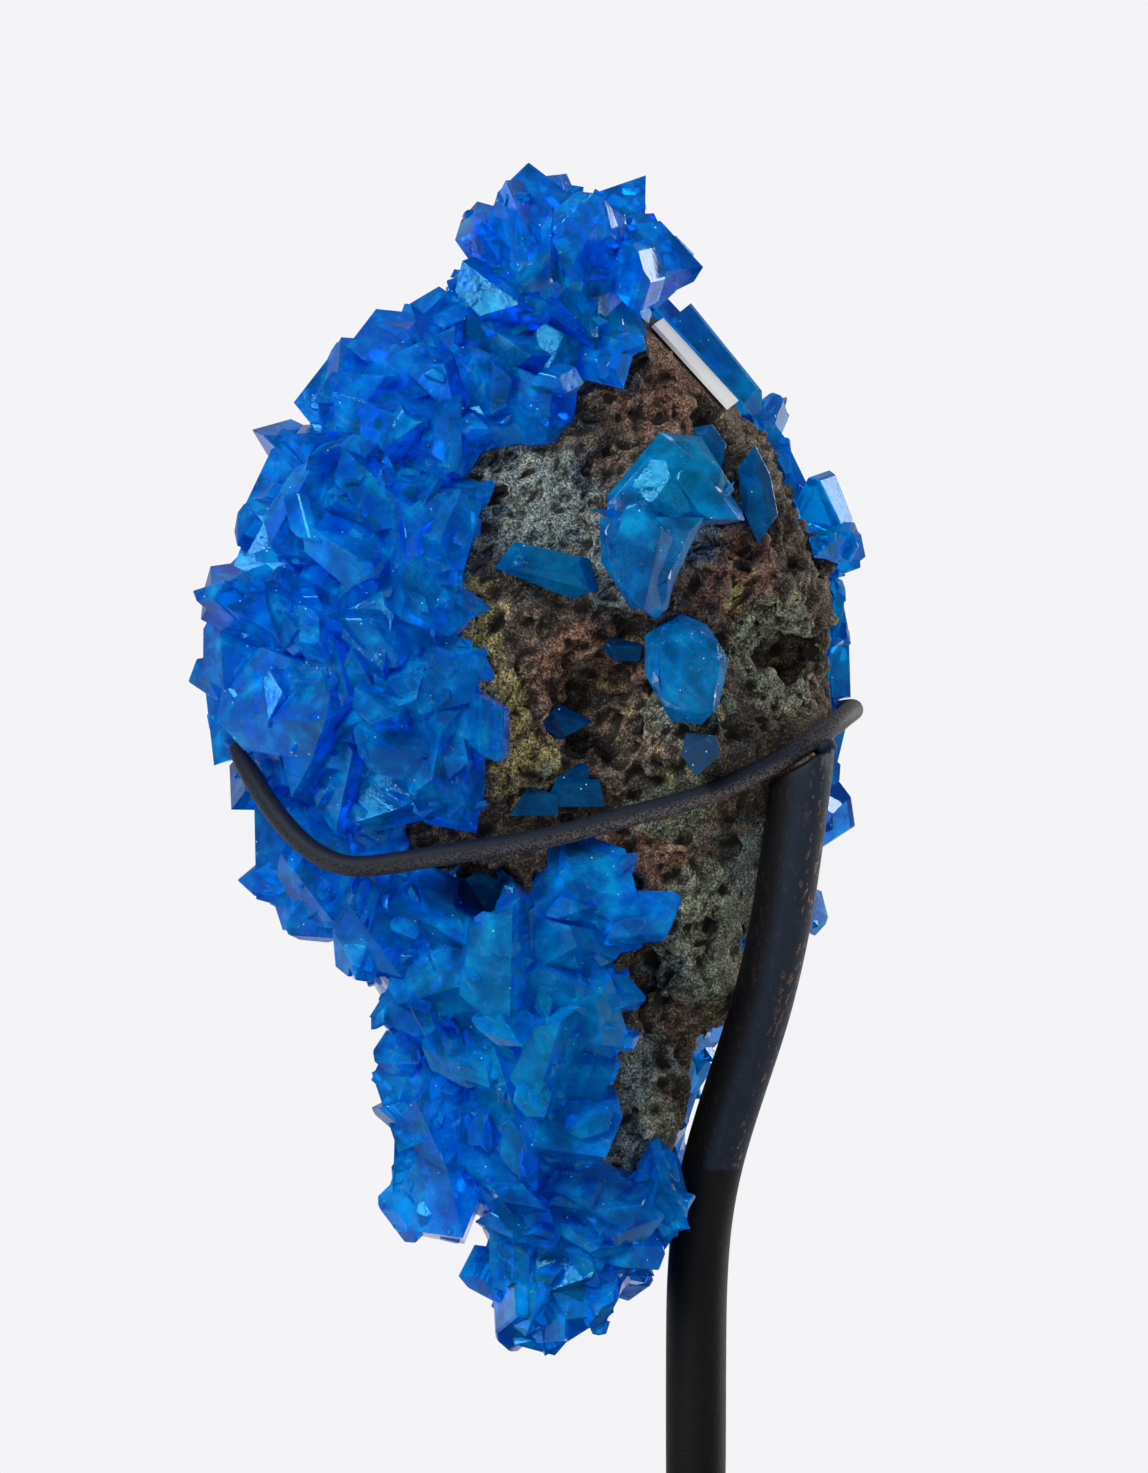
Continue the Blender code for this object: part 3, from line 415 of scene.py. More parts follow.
def patchy(look, places, wander):
    """One near any of some places, with an edge that wanders with a noise."""
    share = 0.0
    for x, y, z, radius in places:
        share = look.math("MAXIMUM", look.near((x, y, z), radius * 0.5, radius * 0.9), share)
    frayed = look.math("ADD", share, look.math("MULTIPLY", wander, 1.5))
    return look.remap(frayed, 1.2, 1.5)


print(sum(len(patches) for _, patches in ROCK_PATCHES), "patches of colour")

# %% [markdown]
# The chain starts with the brown ground, lays the patches and the painted shade of the
# recesses over it, then the blotches, the grains, and painted shade in the pits and pores.
# Pointiness, which Cycles measures on the fine net, paints shade into the hollows and
# lightens the ridges.

# %% Rock material
rock_look = Finish("porous rock")
coarse = rock_look.noise(4.0)
middle = rock_look.noise(1.3, 6.0, 0.68)
fine = rock_look.noise(0.24, 5.0, 0.75)
stain = rock_look.noise(2.2, 6.0, 0.7)
drift = rock_look.add(
    "TexNoise", {"Vector": rock_look.place, "Scale": 1 / (1.5 * MM), "Detail": 3.0}
).outputs["Color"]
drift = rock_look.add("VectorMath", {0: drift, 1: (2.4 * MM,) * 3}, operation="MULTIPLY")
warped = rock_look.add("VectorMath", {0: rock_look.place, 1: drift.outputs[0]}).outputs[0]
pits = rock_look.cells(1.0, place=warped)
pores = rock_look.cells(0.42)
colour = rock_look.blend(rock_look.remap(coarse, 0.38, 0.6), DARK, BROWN)
for tint, patches in ROCK_PATCHES:
    colour = rock_look.blend(patchy(rock_look, patches, middle), colour, tint)
# Painted shade: the recesses darken towards near black
shaded = rock_look.math("MULTIPLY", patchy(rock_look, PAINTED_ROCK_SHADE_PLACES, coarse), 0.75)
colour = rock_look.blend(shaded, colour, DARK)
# Ochre blotches, copper-stained blotches, then dark and light grains
colour = rock_look.blend(rock_look.remap(stain, 0.57, 0.68, 0.0, 0.55), colour, OCHRE)
colour = rock_look.blend(rock_look.remap(stain, 0.42, 0.34, 0.0, 0.6), colour, COPPER_STAIN)
colour = rock_look.blend(rock_look.remap(middle, 0.34, 0.48, 0.7, 0.0), colour, DARK)
colour = rock_look.blend(rock_look.remap(fine, 0.43, 0.50, 0.92, 0.0), colour, DARK)
lighter = rock_look.add("HueSaturation", {"Value": 3.1, "Color": colour}).outputs[0]
lighter = rock_look.blend(0.24, lighter, LIGHT_GRAIN)
colour = rock_look.blend(rock_look.remap(fine, 0.53, 0.60, 0.0, 0.85), colour, lighter)
# Painted shade: the pits and pores darken to near black
colour = rock_look.blend(rock_look.remap(pits, 0.10, 0.24, 0.85, 0.0), colour, DARK)
colour = rock_look.blend(rock_look.remap(pores, 0.08, 0.24, 0.6, 0.0), colour, DARK)
# Painted shade from pointiness: the hollows darken, and the ridges lighten a little
hollow = rock_look.add("NewGeometry").outputs["Pointiness"]
colour = rock_look.blend(rock_look.remap(hollow, 0.43, 0.49), DARK, colour)
colour = rock_look.blend(rock_look.remap(hollow, 0.52, 0.60, 0.0, 0.15), colour, LIGHT_GRAIN)
rock_look.set(
    Base_Color=colour, Roughness=rock_look.remap(fine, 0.3, 0.7, 0.55, 0.95),
    Specular_IOR_Level=0.35,
)
rock_look.bump(
    (middle, 0.35), (rock_look.remap(pits, 0.0, 0.3), 0.2), (fine, 0.12),
    (rock_look.remap(pores, 0.0, 0.3), 0.06),
)
finished(rock, rock_look.material, "matrix")

# %% [markdown]
# ## Crystals: six moulds
#
# The mineral's crystals are short slanting blocks, because the three edges of its unit cell
# meet at odd angles. A mould is a cube cut by the planes of such faces, its edges eased a
# little. Bisect is the right tool: it leaves flat faces, as growth does. Each mould stands
# on the origin, one unit wide, and is copied hundreds of times later.

# %% Crystal faces
CELL_EDGES = (6.14, 10.74, 5.99)
CELL_ANGLES = (97.6, 107.3, 77.4)


def cell_axes():
    """The three edges of the unit cell, the last one upright."""
    a, b, c = CELL_EDGES
    alpha, beta, gamma = (math.radians(angle) for angle in CELL_ANGLES)
    b_x = (math.cos(gamma) - math.cos(alpha) * math.cos(beta)) / math.sin(beta)
    b_y = math.sqrt(1 - b_x ** 2 - math.cos(alpha) ** 2)
    return (
        Vector((math.sin(beta), 0, math.cos(beta))) * a,
        Vector((b_x, b_y, math.cos(alpha))) * b,
        Vector((0, 0, c)),
    )


def face_normal(index):
    """The direction that a face with these indices looks in."""
    a, b, c = cell_axes()
    h, k, l = index
    return (b.cross(c) * h + c.cross(a) * k + a.cross(b) * l).normalized()


print("prism faces meet at", round(math.degrees(
    face_normal((1, 1, 0)).angle(face_normal((1, -1, 0)))), 1), "degrees")

# %% [markdown]
# A habit is the set of faces that a crystal shows. The distance of a side face sets how
# thick the crystal is that way, and the height of an end face sets where it is cut off.

# %% Habits
# Each habit: side faces as index and distance, end faces as index and height
HABITS = {
    "wedge": (
        (((1, 1, 0), 0.50), ((1, -1, 0), 0.46)),
        (((1, -1, 1), 0.95), ((-1, 1, 1), 0.88)),
    ),
    "point": (
        (((1, 1, 0), 0.47), ((1, -1, 0), 0.47)),
        (((1, -1, 1), 0.84), ((-1, -1, 1), 0.90), ((0, 2, 1), 0.88)),
    ),
    "slant": (
        (((1, 1, 0), 0.50), ((1, -1, 0), 0.45), ((0, 1, 0), 0.50)),
        (((1, -1, 1), 0.80), ((-1, 0, 2), 0.95)),
    ),
    "blade": (
        (((1, 1, 0), 0.55), ((1, -1, 0), 0.24)),
        (((1, 1, 1), 0.85), ((-1, -1, 1), 0.92)),
    ),
    "stub": (
        (((1, 1, 0), 0.50), ((1, -1, 0), 0.50), ((1, 0, 0), 0.50)),
        (((0, 0, 1), 0.66), ((1, -1, 1), 0.74), ((-1, 1, 2), 0.74)),
    ),
    "splinter": (
        (((1, 1, 0), 0.34), ((1, -1, 0), 0.30)),
        (((1, -1, 2), 1.05), ((-1, -1, 1), 0.98)),
    ),
}
MOULD_ROOT = 0.7
MOULD_TOP = 1.6
MOULD_SIDE = 1.7
EASE = 0.03
print(len(HABITS), "habits")

# %% [markdown]
# A side face comes with its opposite, as the crystal's symmetry asks. Each cut fills its
# own hole, so the mould stays closed.

# %% Moulds
def crystal_mould(name, sides, ends):
    """A cube cut by the faces of one habit."""
    height = MOULD_TOP + MOULD_ROOT
    bpy.ops.mesh.primitive_cube_add(size=1.0, location=(0, 0, height / 2 - MOULD_ROOT))
    mould = bpy.context.object
    mould.name = "mould " + name
    mould.scale = (MOULD_SIDE, MOULD_SIDE, height)
    bpy.ops.object.transform_apply(location=True, rotation=False, scale=True)
    edit(mould)
    for index, distance in sides:
        for way in (1, -1):
            normal = face_normal(index) * way
            bpy.ops.mesh.select_all(action="SELECT")
            bpy.ops.mesh.bisect(
                plane_co=normal * distance, plane_no=normal, use_fill=True, clear_outer=True
            )
    for index, top in ends:
        bpy.ops.mesh.select_all(action="SELECT")
        bpy.ops.mesh.bisect(
            plane_co=(0, 0, top), plane_no=face_normal(index), use_fill=True,
            clear_outer=True,
        )
    bpy.ops.mesh.select_all(action="SELECT")
    bpy.ops.mesh.dissolve_limited(angle_limit=math.radians(1))
    bpy.ops.mesh.select_all(action="SELECT")
    bpy.ops.mesh.bevel(offset=EASE, segments=1, affect="EDGES", clamp_overlap=True)
    bpy.ops.mesh.select_all(action="SELECT")
    bpy.ops.mesh.normals_make_consistent(inside=False)
    leave_edit()
    return mould


moulds = {}
for name, (sides, ends) in HABITS.items():
    moulds[name] = crystal_mould(name, sides, ends)
    print(moulds[name].name, triangles(moulds[name]), "triangles")

# %% [markdown]
# ## Growing the crust
#
# The big crystals of the crust are in the model. Between them the real crust is full of
# smaller ones, each leaning a little its own way. They are strewn over the outside of the
# big ones: a place is picked at random, kept if it is clear of the bare face, the stand
# and the label, and not too close to one that is there. All are then joined with the big
# crystals by one union, so the light sees one clear body and not hundreds of skins.

# %% Where crystals grow
STREW_SEED = 5
# Places tried, widths in millimetres, spacing as a share of the width, and where:
# "far" side, "near" side, close to the "roots" of the big crystals, or "all" over
CRUST_ROUNDS = (
    (4200, (3.6, 6.6), 0.85, "far"),
    (1500, (3.2, 5.4), 1.15, "near"),
    (2600, (2.0, 3.2), 1.15, "roots"),
    (4200, (1.2, 2.2), 1.15, "roots"),
    (2600, (0.9, 2.0), 1.4, "all"),
)
COMMON_HABITS = ("wedge", "slant", "stub", "stub", "point", "blade", "slant", "splinter")
LENGTHS = (0.55, 0.90)
TILT = 26.0
SUNK = 0.35
ROCK_ROOM = 1.4 * MM
STAND_ROOM = 1.2 * MM
LABEL_ROOM = 3.0 * MM
REACH = 1.1
FAR_SIDE = 7.0 * MM
TIP_CLEAR = 6.2 * MM
CRUST_EASE = 0.22 * MM
# Wider crystals stay off faces that look sideways, so the outline stays the model's
OUTLINE_WIDTH = 2.6 * MM
OUTLINE_TURN = 0.62
WIDE_ROOM = 3.0 * MM
# Crystals on the near side lean down and left
HANG = Vector((-0.15, 0.0, -0.35))
# Crystals that show at the outline: place of the root, direction, width, length for
# its width, spin, habit
PLACED = (
    (-3.6, -7.0, 147.5, (-0.03, -0.06, 1.0), 9.5, 1.66, 100, "point"),
    (-22.0, -4.0, 138.8, (-1.0, -0.2, 0.12), 5.0, 1.0, 15, "stub"),
    (-4.2, -3.0, 47.6, (0.05, -0.1, -1.0), 7.0, 1.0, 40, "stub"),
)
print(sum(tries for tries, *_ in CRUST_ROUNDS), "places to try")

# %% [markdown]
# Places are drawn by the area of the faces, so they are spread evenly. Python's own
# `random.Random`, started with a fixed number, draws the same places on every run.

# %% Strewing crystals
def surface_places(piece, count, chance):
    """Places spread evenly over a piece's faces, each with the face's direction."""
    piece.data.calc_loop_triangles()
    corners = [
        [piece.data.vertices[i].co for i in tri.vertices] for tri in piece.data.loop_triangles
    ]
    areas = [(b - a).cross(c - a).length / 2 for a, b, c in corners]
    picked = chance.choices(range(len(corners)), weights=areas, k=count)
    for number in picked:
        a, b, c = corners[number]
        u, v = sorted((chance.random(), chance.random()))
        place = a * u + b * (v - u) + c * (1 - v)
        yield place, (b - a).cross(c - a).normalized()


def clear_of_stand(place, room):
    """True where a place is far enough from the wire, the rod and the label."""
    if any(tree.find_nearest(place)[3] < room + STAND_ROOM for tree in stand_trees):
        return False
    return label_tree.find_nearest(place)[3] > room + LABEL_ROOM


def stand_up(mould, name, root, direction, width, length, spin, home):
    """A copy of a mould, grown from a place along a direction."""
    crystal = mould.copy()
    crystal.data = mould.data.copy()
    crystal.name = name
    size = Matrix.Diagonal((width, width, width * length, 1.0))
    turn = direction.to_track_quat("Z", "Y").to_matrix().to_4x4()
    spun = Matrix.Rotation(spin, 4, "Z")
    crystal.data.transform(Matrix.Translation(root) @ turn @ spun @ size)
    home.objects.link(crystal)
    return crystal


def strew(solid, rounds, rock_room, chance, home):
    """Small crystals all over a crystal's surface, clear of the rock and the stand."""
    taken = []
    for tries, widths, spacing, where in rounds:
        for place, normal in surface_places(solid, tries, chance):
            width = chance.uniform(*widths) * MM
            hit, _, _, away = rock_tree.find_nearest(place)
            outward = (place - hit).normalized()
            near_side = place.y < FAR_SIDE
            if where == ("far" if near_side else "near"):
                continue
            if near_side and where == "roots" and away > TIP_CLEAR:
                continue
            wide = width > OUTLINE_WIDTH
            if wide and (abs(normal.x) > OUTLINE_TURN or near_side and away < WIDE_ROOM):
                continue
            if away < rock_room or normal.dot(outward) < 0.1:
                continue
            if any((place - at).length < spacing * (width + size) / 2 for at, size in taken):
                continue
            if not clear_of_stand(place, width * REACH):
                continue
            taken.append((place, width))
            direction = (normal + outward + HANG * near_side).normalized()
            side = direction.orthogonal().normalized()
            side.rotate(Matrix.Rotation(chance.uniform(0, math.tau), 3, direction))
            lean = math.radians(chance.uniform(0, TILT))
            direction.rotate(Matrix.Rotation(lean, 3, side))
            stand_up(
                moulds[chance.choice(COMMON_HABITS)], "small crystal",
                place - direction * width * SUNK, direction, width,
                chance.uniform(*LENGTHS), chance.uniform(0, math.tau), home,
            )
    return len(taken)


print(len(set(COMMON_HABITS)), "habits among the small crystals")

# %% [markdown]
# The big crystals get eased edges before the union, which is quick while they are few. A
# union can leave slivers that touch nothing, and they are deleted afterwards.

# %% Joining the crust
def join_all(piece, home):
    """Joins a collection of closed shapes to a piece in one union, and empties it."""
    modify(
        piece, "BOOLEAN", operation="UNION", solver="MANIFOLD",
        operand_type="COLLECTION", collection=home,
    )
    for part in list(home.objects):
        bpy.data.objects.remove(part)


def drop_crumbs(piece):
    """Deletes the slivers that a union leaves apart from the main body."""
    edit(piece, "DESELECT")
    leave_edit()
    max(piece.data.vertices, key=lambda vertex: vertex.co.z).select = True
    bpy.ops.object.mode_set(mode="EDIT")
    bpy.ops.mesh.select_linked()
    bpy.ops.mesh.select_all(action="INVERT")
    bpy.ops.mesh.delete(type="VERT")
    leave_edit()


grown = bpy.data.collections.new("grown crystals")
bpy.context.scene.collection.children.link(grown)
chance = random.Random(STREW_SEED)
print(strew(crust_solid, CRUST_ROUNDS, ROCK_ROOM, chance, grown), "crystals strewn")
for x, y, z, leaning, width, length, spin, habit in PLACED:
    stand_up(
        moulds[habit], "placed crystal", Vector((x, y, z)) * MM,
        Vector(leaning).normalized(), width * MM, length, math.radians(spin), grown,
    )
crust = twin(crust_solid, "crust_of_crystals")
edit(crust)
bpy.ops.mesh.dissolve_limited(angle_limit=math.radians(2))
leave_edit()
modify(crust, "BEVEL", width=CRUST_EASE, segments=1, limit_method="ANGLE")
print("eased crust", triangles(crust), "triangles")
join_all(crust, grown)
print("joined crust", triangles(crust), "triangles")

# %% [markdown]
# One dark hollow below the wire is large enough to see. A coarse ball, turned and
# stretched, cuts it with flat sides, as a gap between crystals has.

# %% Dark hollow
HOLLOW = (-9.2, 88.3, 3.5)
HOLLOW_TURN = (0.4, 0.9, 0.3)
HOLLOW_FORM = (1.1, 2.2, 0.8)

x, z, radius = HOLLOW
mouth = seen_from_front(tree_of(crust), x, z)
bpy.ops.mesh.primitive_ico_sphere_add(
    subdivisions=1, radius=radius * MM, location=mouth, rotation=HOLLOW_TURN
)
hollow = bpy.context.object
hollow.scale = HOLLOW_FORM
bpy.ops.object.transform_apply(location=True, rotation=True, scale=True)
modify(crust, "BOOLEAN", operation="DIFFERENCE", solver="MANIFOLD", object=hollow)
bpy.data.objects.remove(hollow)
drop_crumbs(crust)
print("crust", triangles(crust), "triangles")

# %% [markdown]
# ## The crystals' finish
#
# Clear blue crystal is glass with a colour that deepens with thickness. Transmission and
# the index of refraction bend the light, and a Volume Absorption takes out red and green
# on the way, so thin edges are cyan and thick cores deep blue. Fine frosting and faint
# ripples on the faces keep the crystal from looking like a moulded piece.

# %% Crystal colours
DEEP_BLUE = (0.0, 0.16, 0.62)
BODY_BLUE = (0.0, 0.33, 0.99)
AZURE = (0.0, 0.53, 1.0)
PALE_CYAN = (0.25, 0.75, 0.98)
# Clearer, greener growth, and on the right and far side a painted glow of light from
# behind: centre and radius in millimetres
AZURE_AND_PAINTED_BACKLIGHT_PLACES = (
    (-3, -16, 74, 10), (11, -20, 128, 6), (12, -18, 110, 5), (-1, -19, 120, 5),
    (-12, -17, 117, 5), (4, -10, 143, 5), (-18, -10, 59, 5), (8, -6, 56, 4),
    (-4, -10, 45, 5), (29, 4, 112, 11), (26, 4, 126, 8), (18, 4, 138, 8), (15, 4, 69, 7),
    (27, 4, 87, 5), (12, 0, 152, 5),
)
# Crystals in shade or in a recess, their shade painted in: centre, radius, how dark
PAINTED_CRYSTAL_SHADE = (
    (-9.2, -15, 88, 3.2, 0.95), (-0.4, -18, 105, 4.5, 0.94), (5.2, -18, 112, 3.0, 0.92),
    (0.0, -18, 98, 5.5, 0.88), (18.7, -11, 128, 6.5, 0.6), (-2.5, -20, 121, 6.0, 0.5),
)
PAINTED_SHADE_BLUE = (0.0, 0.022, 0.115)
GREY_PLACE = (13.0, -18.5, 102.0)
DULL_GREY = (0.022, 0.030, 0.036)
# Colour of the painted glints
PAINTED_SPARKLE = (0.55, 0.85, 1.0)
REFRACTION = 1.53
GLINT = (0.12, 0.62, 1.0, 1.0)
WATER_BLUE = (0.0, 0.735, 0.975, 1.0)
ABSORPTION = 330.0
print(len(AZURE_AND_PAINTED_BACKLIGHT_PLACES), "azure places and", len(PAINTED_CRYSTAL_SHADE), "dark ones")

# %% [markdown]
# The surface colour tints what passes through, so azure places, partly a painted glow of
# light from behind, and growth streaks are blended there. Crystals in a recess get painted
# shade, a dark tint, and let less light through. Tiny pale specks are painted glints. The
# index, the glint and the absorption are the same all over, and are plain values.

# %% Crystal material
crystal_look = Finish("blue crystal")
frost = crystal_look.noise(3.0, 5.0, 0.6)
depth = crystal_look.noise(5.5, 3.0, 0.5)
ripple = crystal_look.noise(0.7, 4.0, 0.6)
growth = crystal_look.add(
    "TexWave",
    {"Vector": crystal_look.place, "Scale": 0.314 / (0.9 * MM), "Distortion": 7.0,
     "Detail": 3.0, "Detail Scale": 0.6},
    bands_direction="DIAGONAL",
).outputs["Fac"]
cracks = crystal_look.cells(4.0, "DISTANCE_TO_EDGE")
painted_sparkle_cells = crystal_look.cells(1.5)
# Azure places: clearer growth in front, a painted glow of light from behind on the right
share = 0.0
for x, y, z, radius in AZURE_AND_PAINTED_BACKLIGHT_PLACES:
    patch = crystal_look.near((x, y, z), radius * 0.5, radius)
    share = crystal_look.math("MAXIMUM", patch, share)
share = crystal_look.math(
    "MAXIMUM", crystal_look.math("MULTIPLY", share, 0.85),
    crystal_look.remap(frost, 0.50, 0.72, 0.0, 0.8),
)
tint = crystal_look.blend(share, BODY_BLUE, AZURE)
deep = crystal_look.math("MULTIPLY", crystal_look.remap(depth, 0.36, 0.50, 0.85, 0.0),
                         crystal_look.remap(share, 0.2, 0.9, 1.0, 0.25))
tint = crystal_look.blend(deep, tint, DEEP_BLUE)
streaks = crystal_look.remap(growth, 0.86, 0.98, 0.0, 0.12)
tint = crystal_look.blend(
    crystal_look.math("MULTIPLY", streaks, crystal_look.remap(depth, 0.5, 0.62)), tint,
    PALE_CYAN,
)
lines = crystal_look.math(
    "MULTIPLY", crystal_look.remap(cracks, 0.005, 0.016, 0.6, 0.0),
    crystal_look.remap(ripple, 0.54, 0.64),
)
tint = crystal_look.blend(lines, tint, PALE_CYAN)
# Painted shade: crystals in a recess are tinted dark blue
shade = 0.0
for x, y, z, radius, strength in PAINTED_CRYSTAL_SHADE:
    patch = crystal_look.math("MULTIPLY", crystal_look.near((x, y, z), radius, 2.0), strength)
    shade = crystal_look.math("MAXIMUM", patch, shade)
tint = crystal_look.blend(shade, tint, PAINTED_SHADE_BLUE)
greyish = crystal_look.math("MULTIPLY", crystal_look.near(GREY_PLACE, 3.5, 1.5), 0.85)
tint = crystal_look.blend(greyish, tint, DULL_GREY)
# Painted glints: tiny pale specks, which also let less light through
painted_sparkle = crystal_look.remap(painted_sparkle_cells, 0.035, 0.06, 1.0, 0.0)
tint = crystal_look.blend(painted_sparkle, tint, PAINTED_SPARKLE)
clear = crystal_look.remap(frost, 0.4, 0.7, 0.82, 0.52)
clear = crystal_look.math("SUBTRACT", clear, crystal_look.math("MULTIPLY", painted_sparkle, 0.6))
# The crystals in shade and the grey one let less light through
for dull, least in ((shade, 0.8), (greyish, 0.3)):
    kept = crystal_look.remap(dull, 0.0, 0.9, 1.0, least)
    clear = crystal_look.math("MULTIPLY", clear, kept)
crystal_look.set(
    Base_Color=tint, Roughness=crystal_look.remap(frost, 0.35, 0.7, 0.03, 0.18),
    IOR=REFRACTION, Transmission_Weight=clear, Specular_IOR_Level=0.32, Specular_Tint=GLINT,
)
crystal_look.bump((frost, 0.08), (ripple, 0.02))
absorb = crystal_look.tree.nodes.new("ShaderNodeVolumeAbsorption")
absorb.inputs["Color"].default_value = WATER_BLUE
absorb.inputs["Density"].default_value = ABSORPTION
output = crystal_look.tree.nodes["Material Output"]
crystal_look.tree.links.new(absorb.outputs[0], output.inputs["Volume"])
finished(crust, crystal_look.material, "crystal_crust")

# %% [markdown]
# ## The lone crystals
#
# Eight single crystals and small groups stand on the bare face. Their outlines come from
# the model. Here the coplanar triangles are joined again, broad faces get a growth step, the
# edges are eased, and the root is drawn a little into the rock, so no gap shows under it.

# %% Lone crystals
LONE = (
    "front_cluster", "lens_crystal", "blade_crystal", "block_crystal", "shadow_crystal",
    "dark_crystal", "grey_crystal", "hollow_crystals",
)
ROOT_REACH = 0.6 * MM
ROOT_SINK = 1.6 * MM
LONE_TRIES = {"hollow_crystals": 14}
# Crystals on a lone group: across, height, direction, width, length, spin, habit
LONE_PLACED = {
    "front_cluster": (
        (7.4, 121.6, (0.1, -1.0, -0.35), 7.0, 0.75, 25, "stub"),
        (13.4, 127.4, (0.6, -1.0, 0.1), 5.0, 0.7, 70, "stub"),
    ),
}
LONE_WIDTHS = (1.6, 2.8)
LONE_ROOM = 0.7 * MM
TERRACE = (1.3 * MM, 0.45 * MM)
BROAD = 12.0 * MM * MM
FORWARD = -0.3
GEM_EASE = 0.3 * MM
GEM_SUNK = 0.3


def terrace(gem):
    """Raises the middle of each broad face that looks forward, like a growth step."""
    edit(gem, "DESELECT")
    leave_edit()
    for face in gem.data.polygons:
        face.select = face.area > BROAD and face.normal.y < FORWARD
    bpy.ops.object.mode_set(mode="EDIT")
    bpy.ops.mesh.select_mode(type="FACE")
    inward, height = TERRACE
    bpy.ops.mesh.inset(thickness=inward, depth=height, use_individual=True)
    bpy.ops.mesh.select_mode(type="VERT")
    leave_edit()


print(len(LONE), "lone crystals and groups")

# %% [markdown]
# Now each of them is made in turn. The vertices that touch the rock are its root. Two of
# the groups also get a few small crystals, placed at listed places or strewn.

# %% Growing the lone crystals
for node in LONE:
    gem = merged_copy(node, "grown_" + node)
    edit(gem, "DESELECT")
    leave_edit()
    for vertex in gem.data.vertices:
        vertex.select = rock_tree.find_nearest(vertex.co)[3] < ROOT_REACH
    bpy.ops.object.mode_set(mode="EDIT")
    bpy.ops.transform.translate(value=(0, ROOT_SINK, 0))
    bpy.ops.mesh.select_all(action="SELECT")
    bpy.ops.mesh.dissolve_limited(angle_limit=math.radians(4))
    leave_edit()
    terrace(gem)
    modify(gem, "BEVEL", width=GEM_EASE, segments=1, limit_method="ANGLE")
    for x, z, leaning, width, length, spin, habit in LONE_PLACED.get(node, ()):
        root = seen_from_front(tree_of(gem), x, z) + Vector((0, GEM_SUNK * width, 0)) * MM
        stand_up(
            moulds[habit], "placed crystal", root, Vector(leaning).normalized(),
            width * MM, length, math.radians(spin), grown,
        )
    if node in LONE_PLACED:
        join_all(gem, grown)
    if node in LONE_TRIES:
        strew(gem, ((LONE_TRIES[node], LONE_WIDTHS, 1.3, "roots"),), LONE_ROOM, chance, grown)
        join_all(gem, grown)
    finished(gem, crystal_look.material, node)

# %% [markdown]
# ## The stand
#
# The claw is one wire with a matt black coat. The model has it as an eight-sided tube, and
# a subdivision surface makes it round again. The rod gets the same treatment. Such a
# surface shrinks a bar a little, so the bar is swollen by as much first.

# %% Round bars
WIRE_SWELL = 0.08 * MM
ROD_SWELL = 0.20 * MM


def rounded_bar(node, name, swell):
    """A copy of a bar of the model, its sides made quads and rounded."""
    bar = merged_copy(node, name)
    edit(bar)
    bpy.ops.mesh.tris_convert_to_quads(
        face_threshold=math.radians(60), shape_threshold=math.radians(60)
    )
    bpy.ops.transform.shrink_fatten(value=swell)
    leave_edit()
    modify(bar, "SUBSURF", levels=2, render_levels=2)
    only(bar)
    bpy.ops.object.shade_smooth_by_angle(angle=math.radians(40))
    return bar


wire = rounded_bar("wire_claw", "claw_wire", WIRE_SWELL)
rod = rounded_bar("post", "rod", ROD_SWELL)
foot = merged_copy("base", "foot")
print("wire", triangles(wire), "rod", triangles(rod), "foot", triangles(foot))

# %% [markdown]
# ### The stand's coats
#
# The wire's coat is nearly black. A lighter granular colour lies on its lower side and its
# right end, partly dust and partly painted light from below and the right. The rod is navy
# above a finish line and plain black below it, with worn streaks on its right; above the
# line its left side stays black as painted shade. The wear and the painted light follow
# where the surface looks, so they read the Normal output of Texture Coordinate, which
# turns with the piece and not with the camera.

# %% Coats
WIRE_COAT = (0.008, 0.012, 0.022)
DUST_AND_PAINTED_LIGHT = (0.19, 0.16, 0.14)
NAVY_COAT = (0.012, 0.019, 0.032)
PLAIN_COAT = (0.0035, 0.0037, 0.0042)
FLAKE = (0.30, 0.17, 0.10)
FINISH_LINE = 60.1 * MM
LINE_BLUR = 0.15 * MM


def black_coat(name, colour, wear_and_painted_light, wear_and_painted_light_mask):
    """A thin matt coat with its wear, and painted light where the mask asks for it."""
    look = Finish(name)
    grain = look.noise(0.22, 3.0, 0.7)
    mask = look.math("MULTIPLY", wear_and_painted_light_mask(look), look.remap(grain, 0.42, 0.60))
    look.set(
        Base_Color=look.blend(mask, colour, wear_and_painted_light), Specular_IOR_Level=0.14,
        Roughness=look.remap(grain, 0.3, 0.7, 0.35, 0.6),
    )
    look.bump((grain, 0.06))
    return look


def under_side(look):
    """Where a face looks down, and towards the wire's right end."""
    x, _, _ = look.add("SeparateXYZ", {0: look.place}).outputs
    _, _, up = look.add("SeparateXYZ", {0: look.tree.nodes["Texture Coordinate"].outputs[
        "Normal"]}).outputs
    # Dust and painted light from below and the right: lighter where the face looks down
    down = look.remap(up, -0.45, 0.35, 0.9, 0.05)
    end = look.remap(x, 20 * MM, 29 * MM, 0.0, 0.7)
    side = look.remap(x, -20 * MM, 12 * MM, 0.25, 1.0)
    return look.math("MAXIMUM", look.math("MULTIPLY", down, side), end)


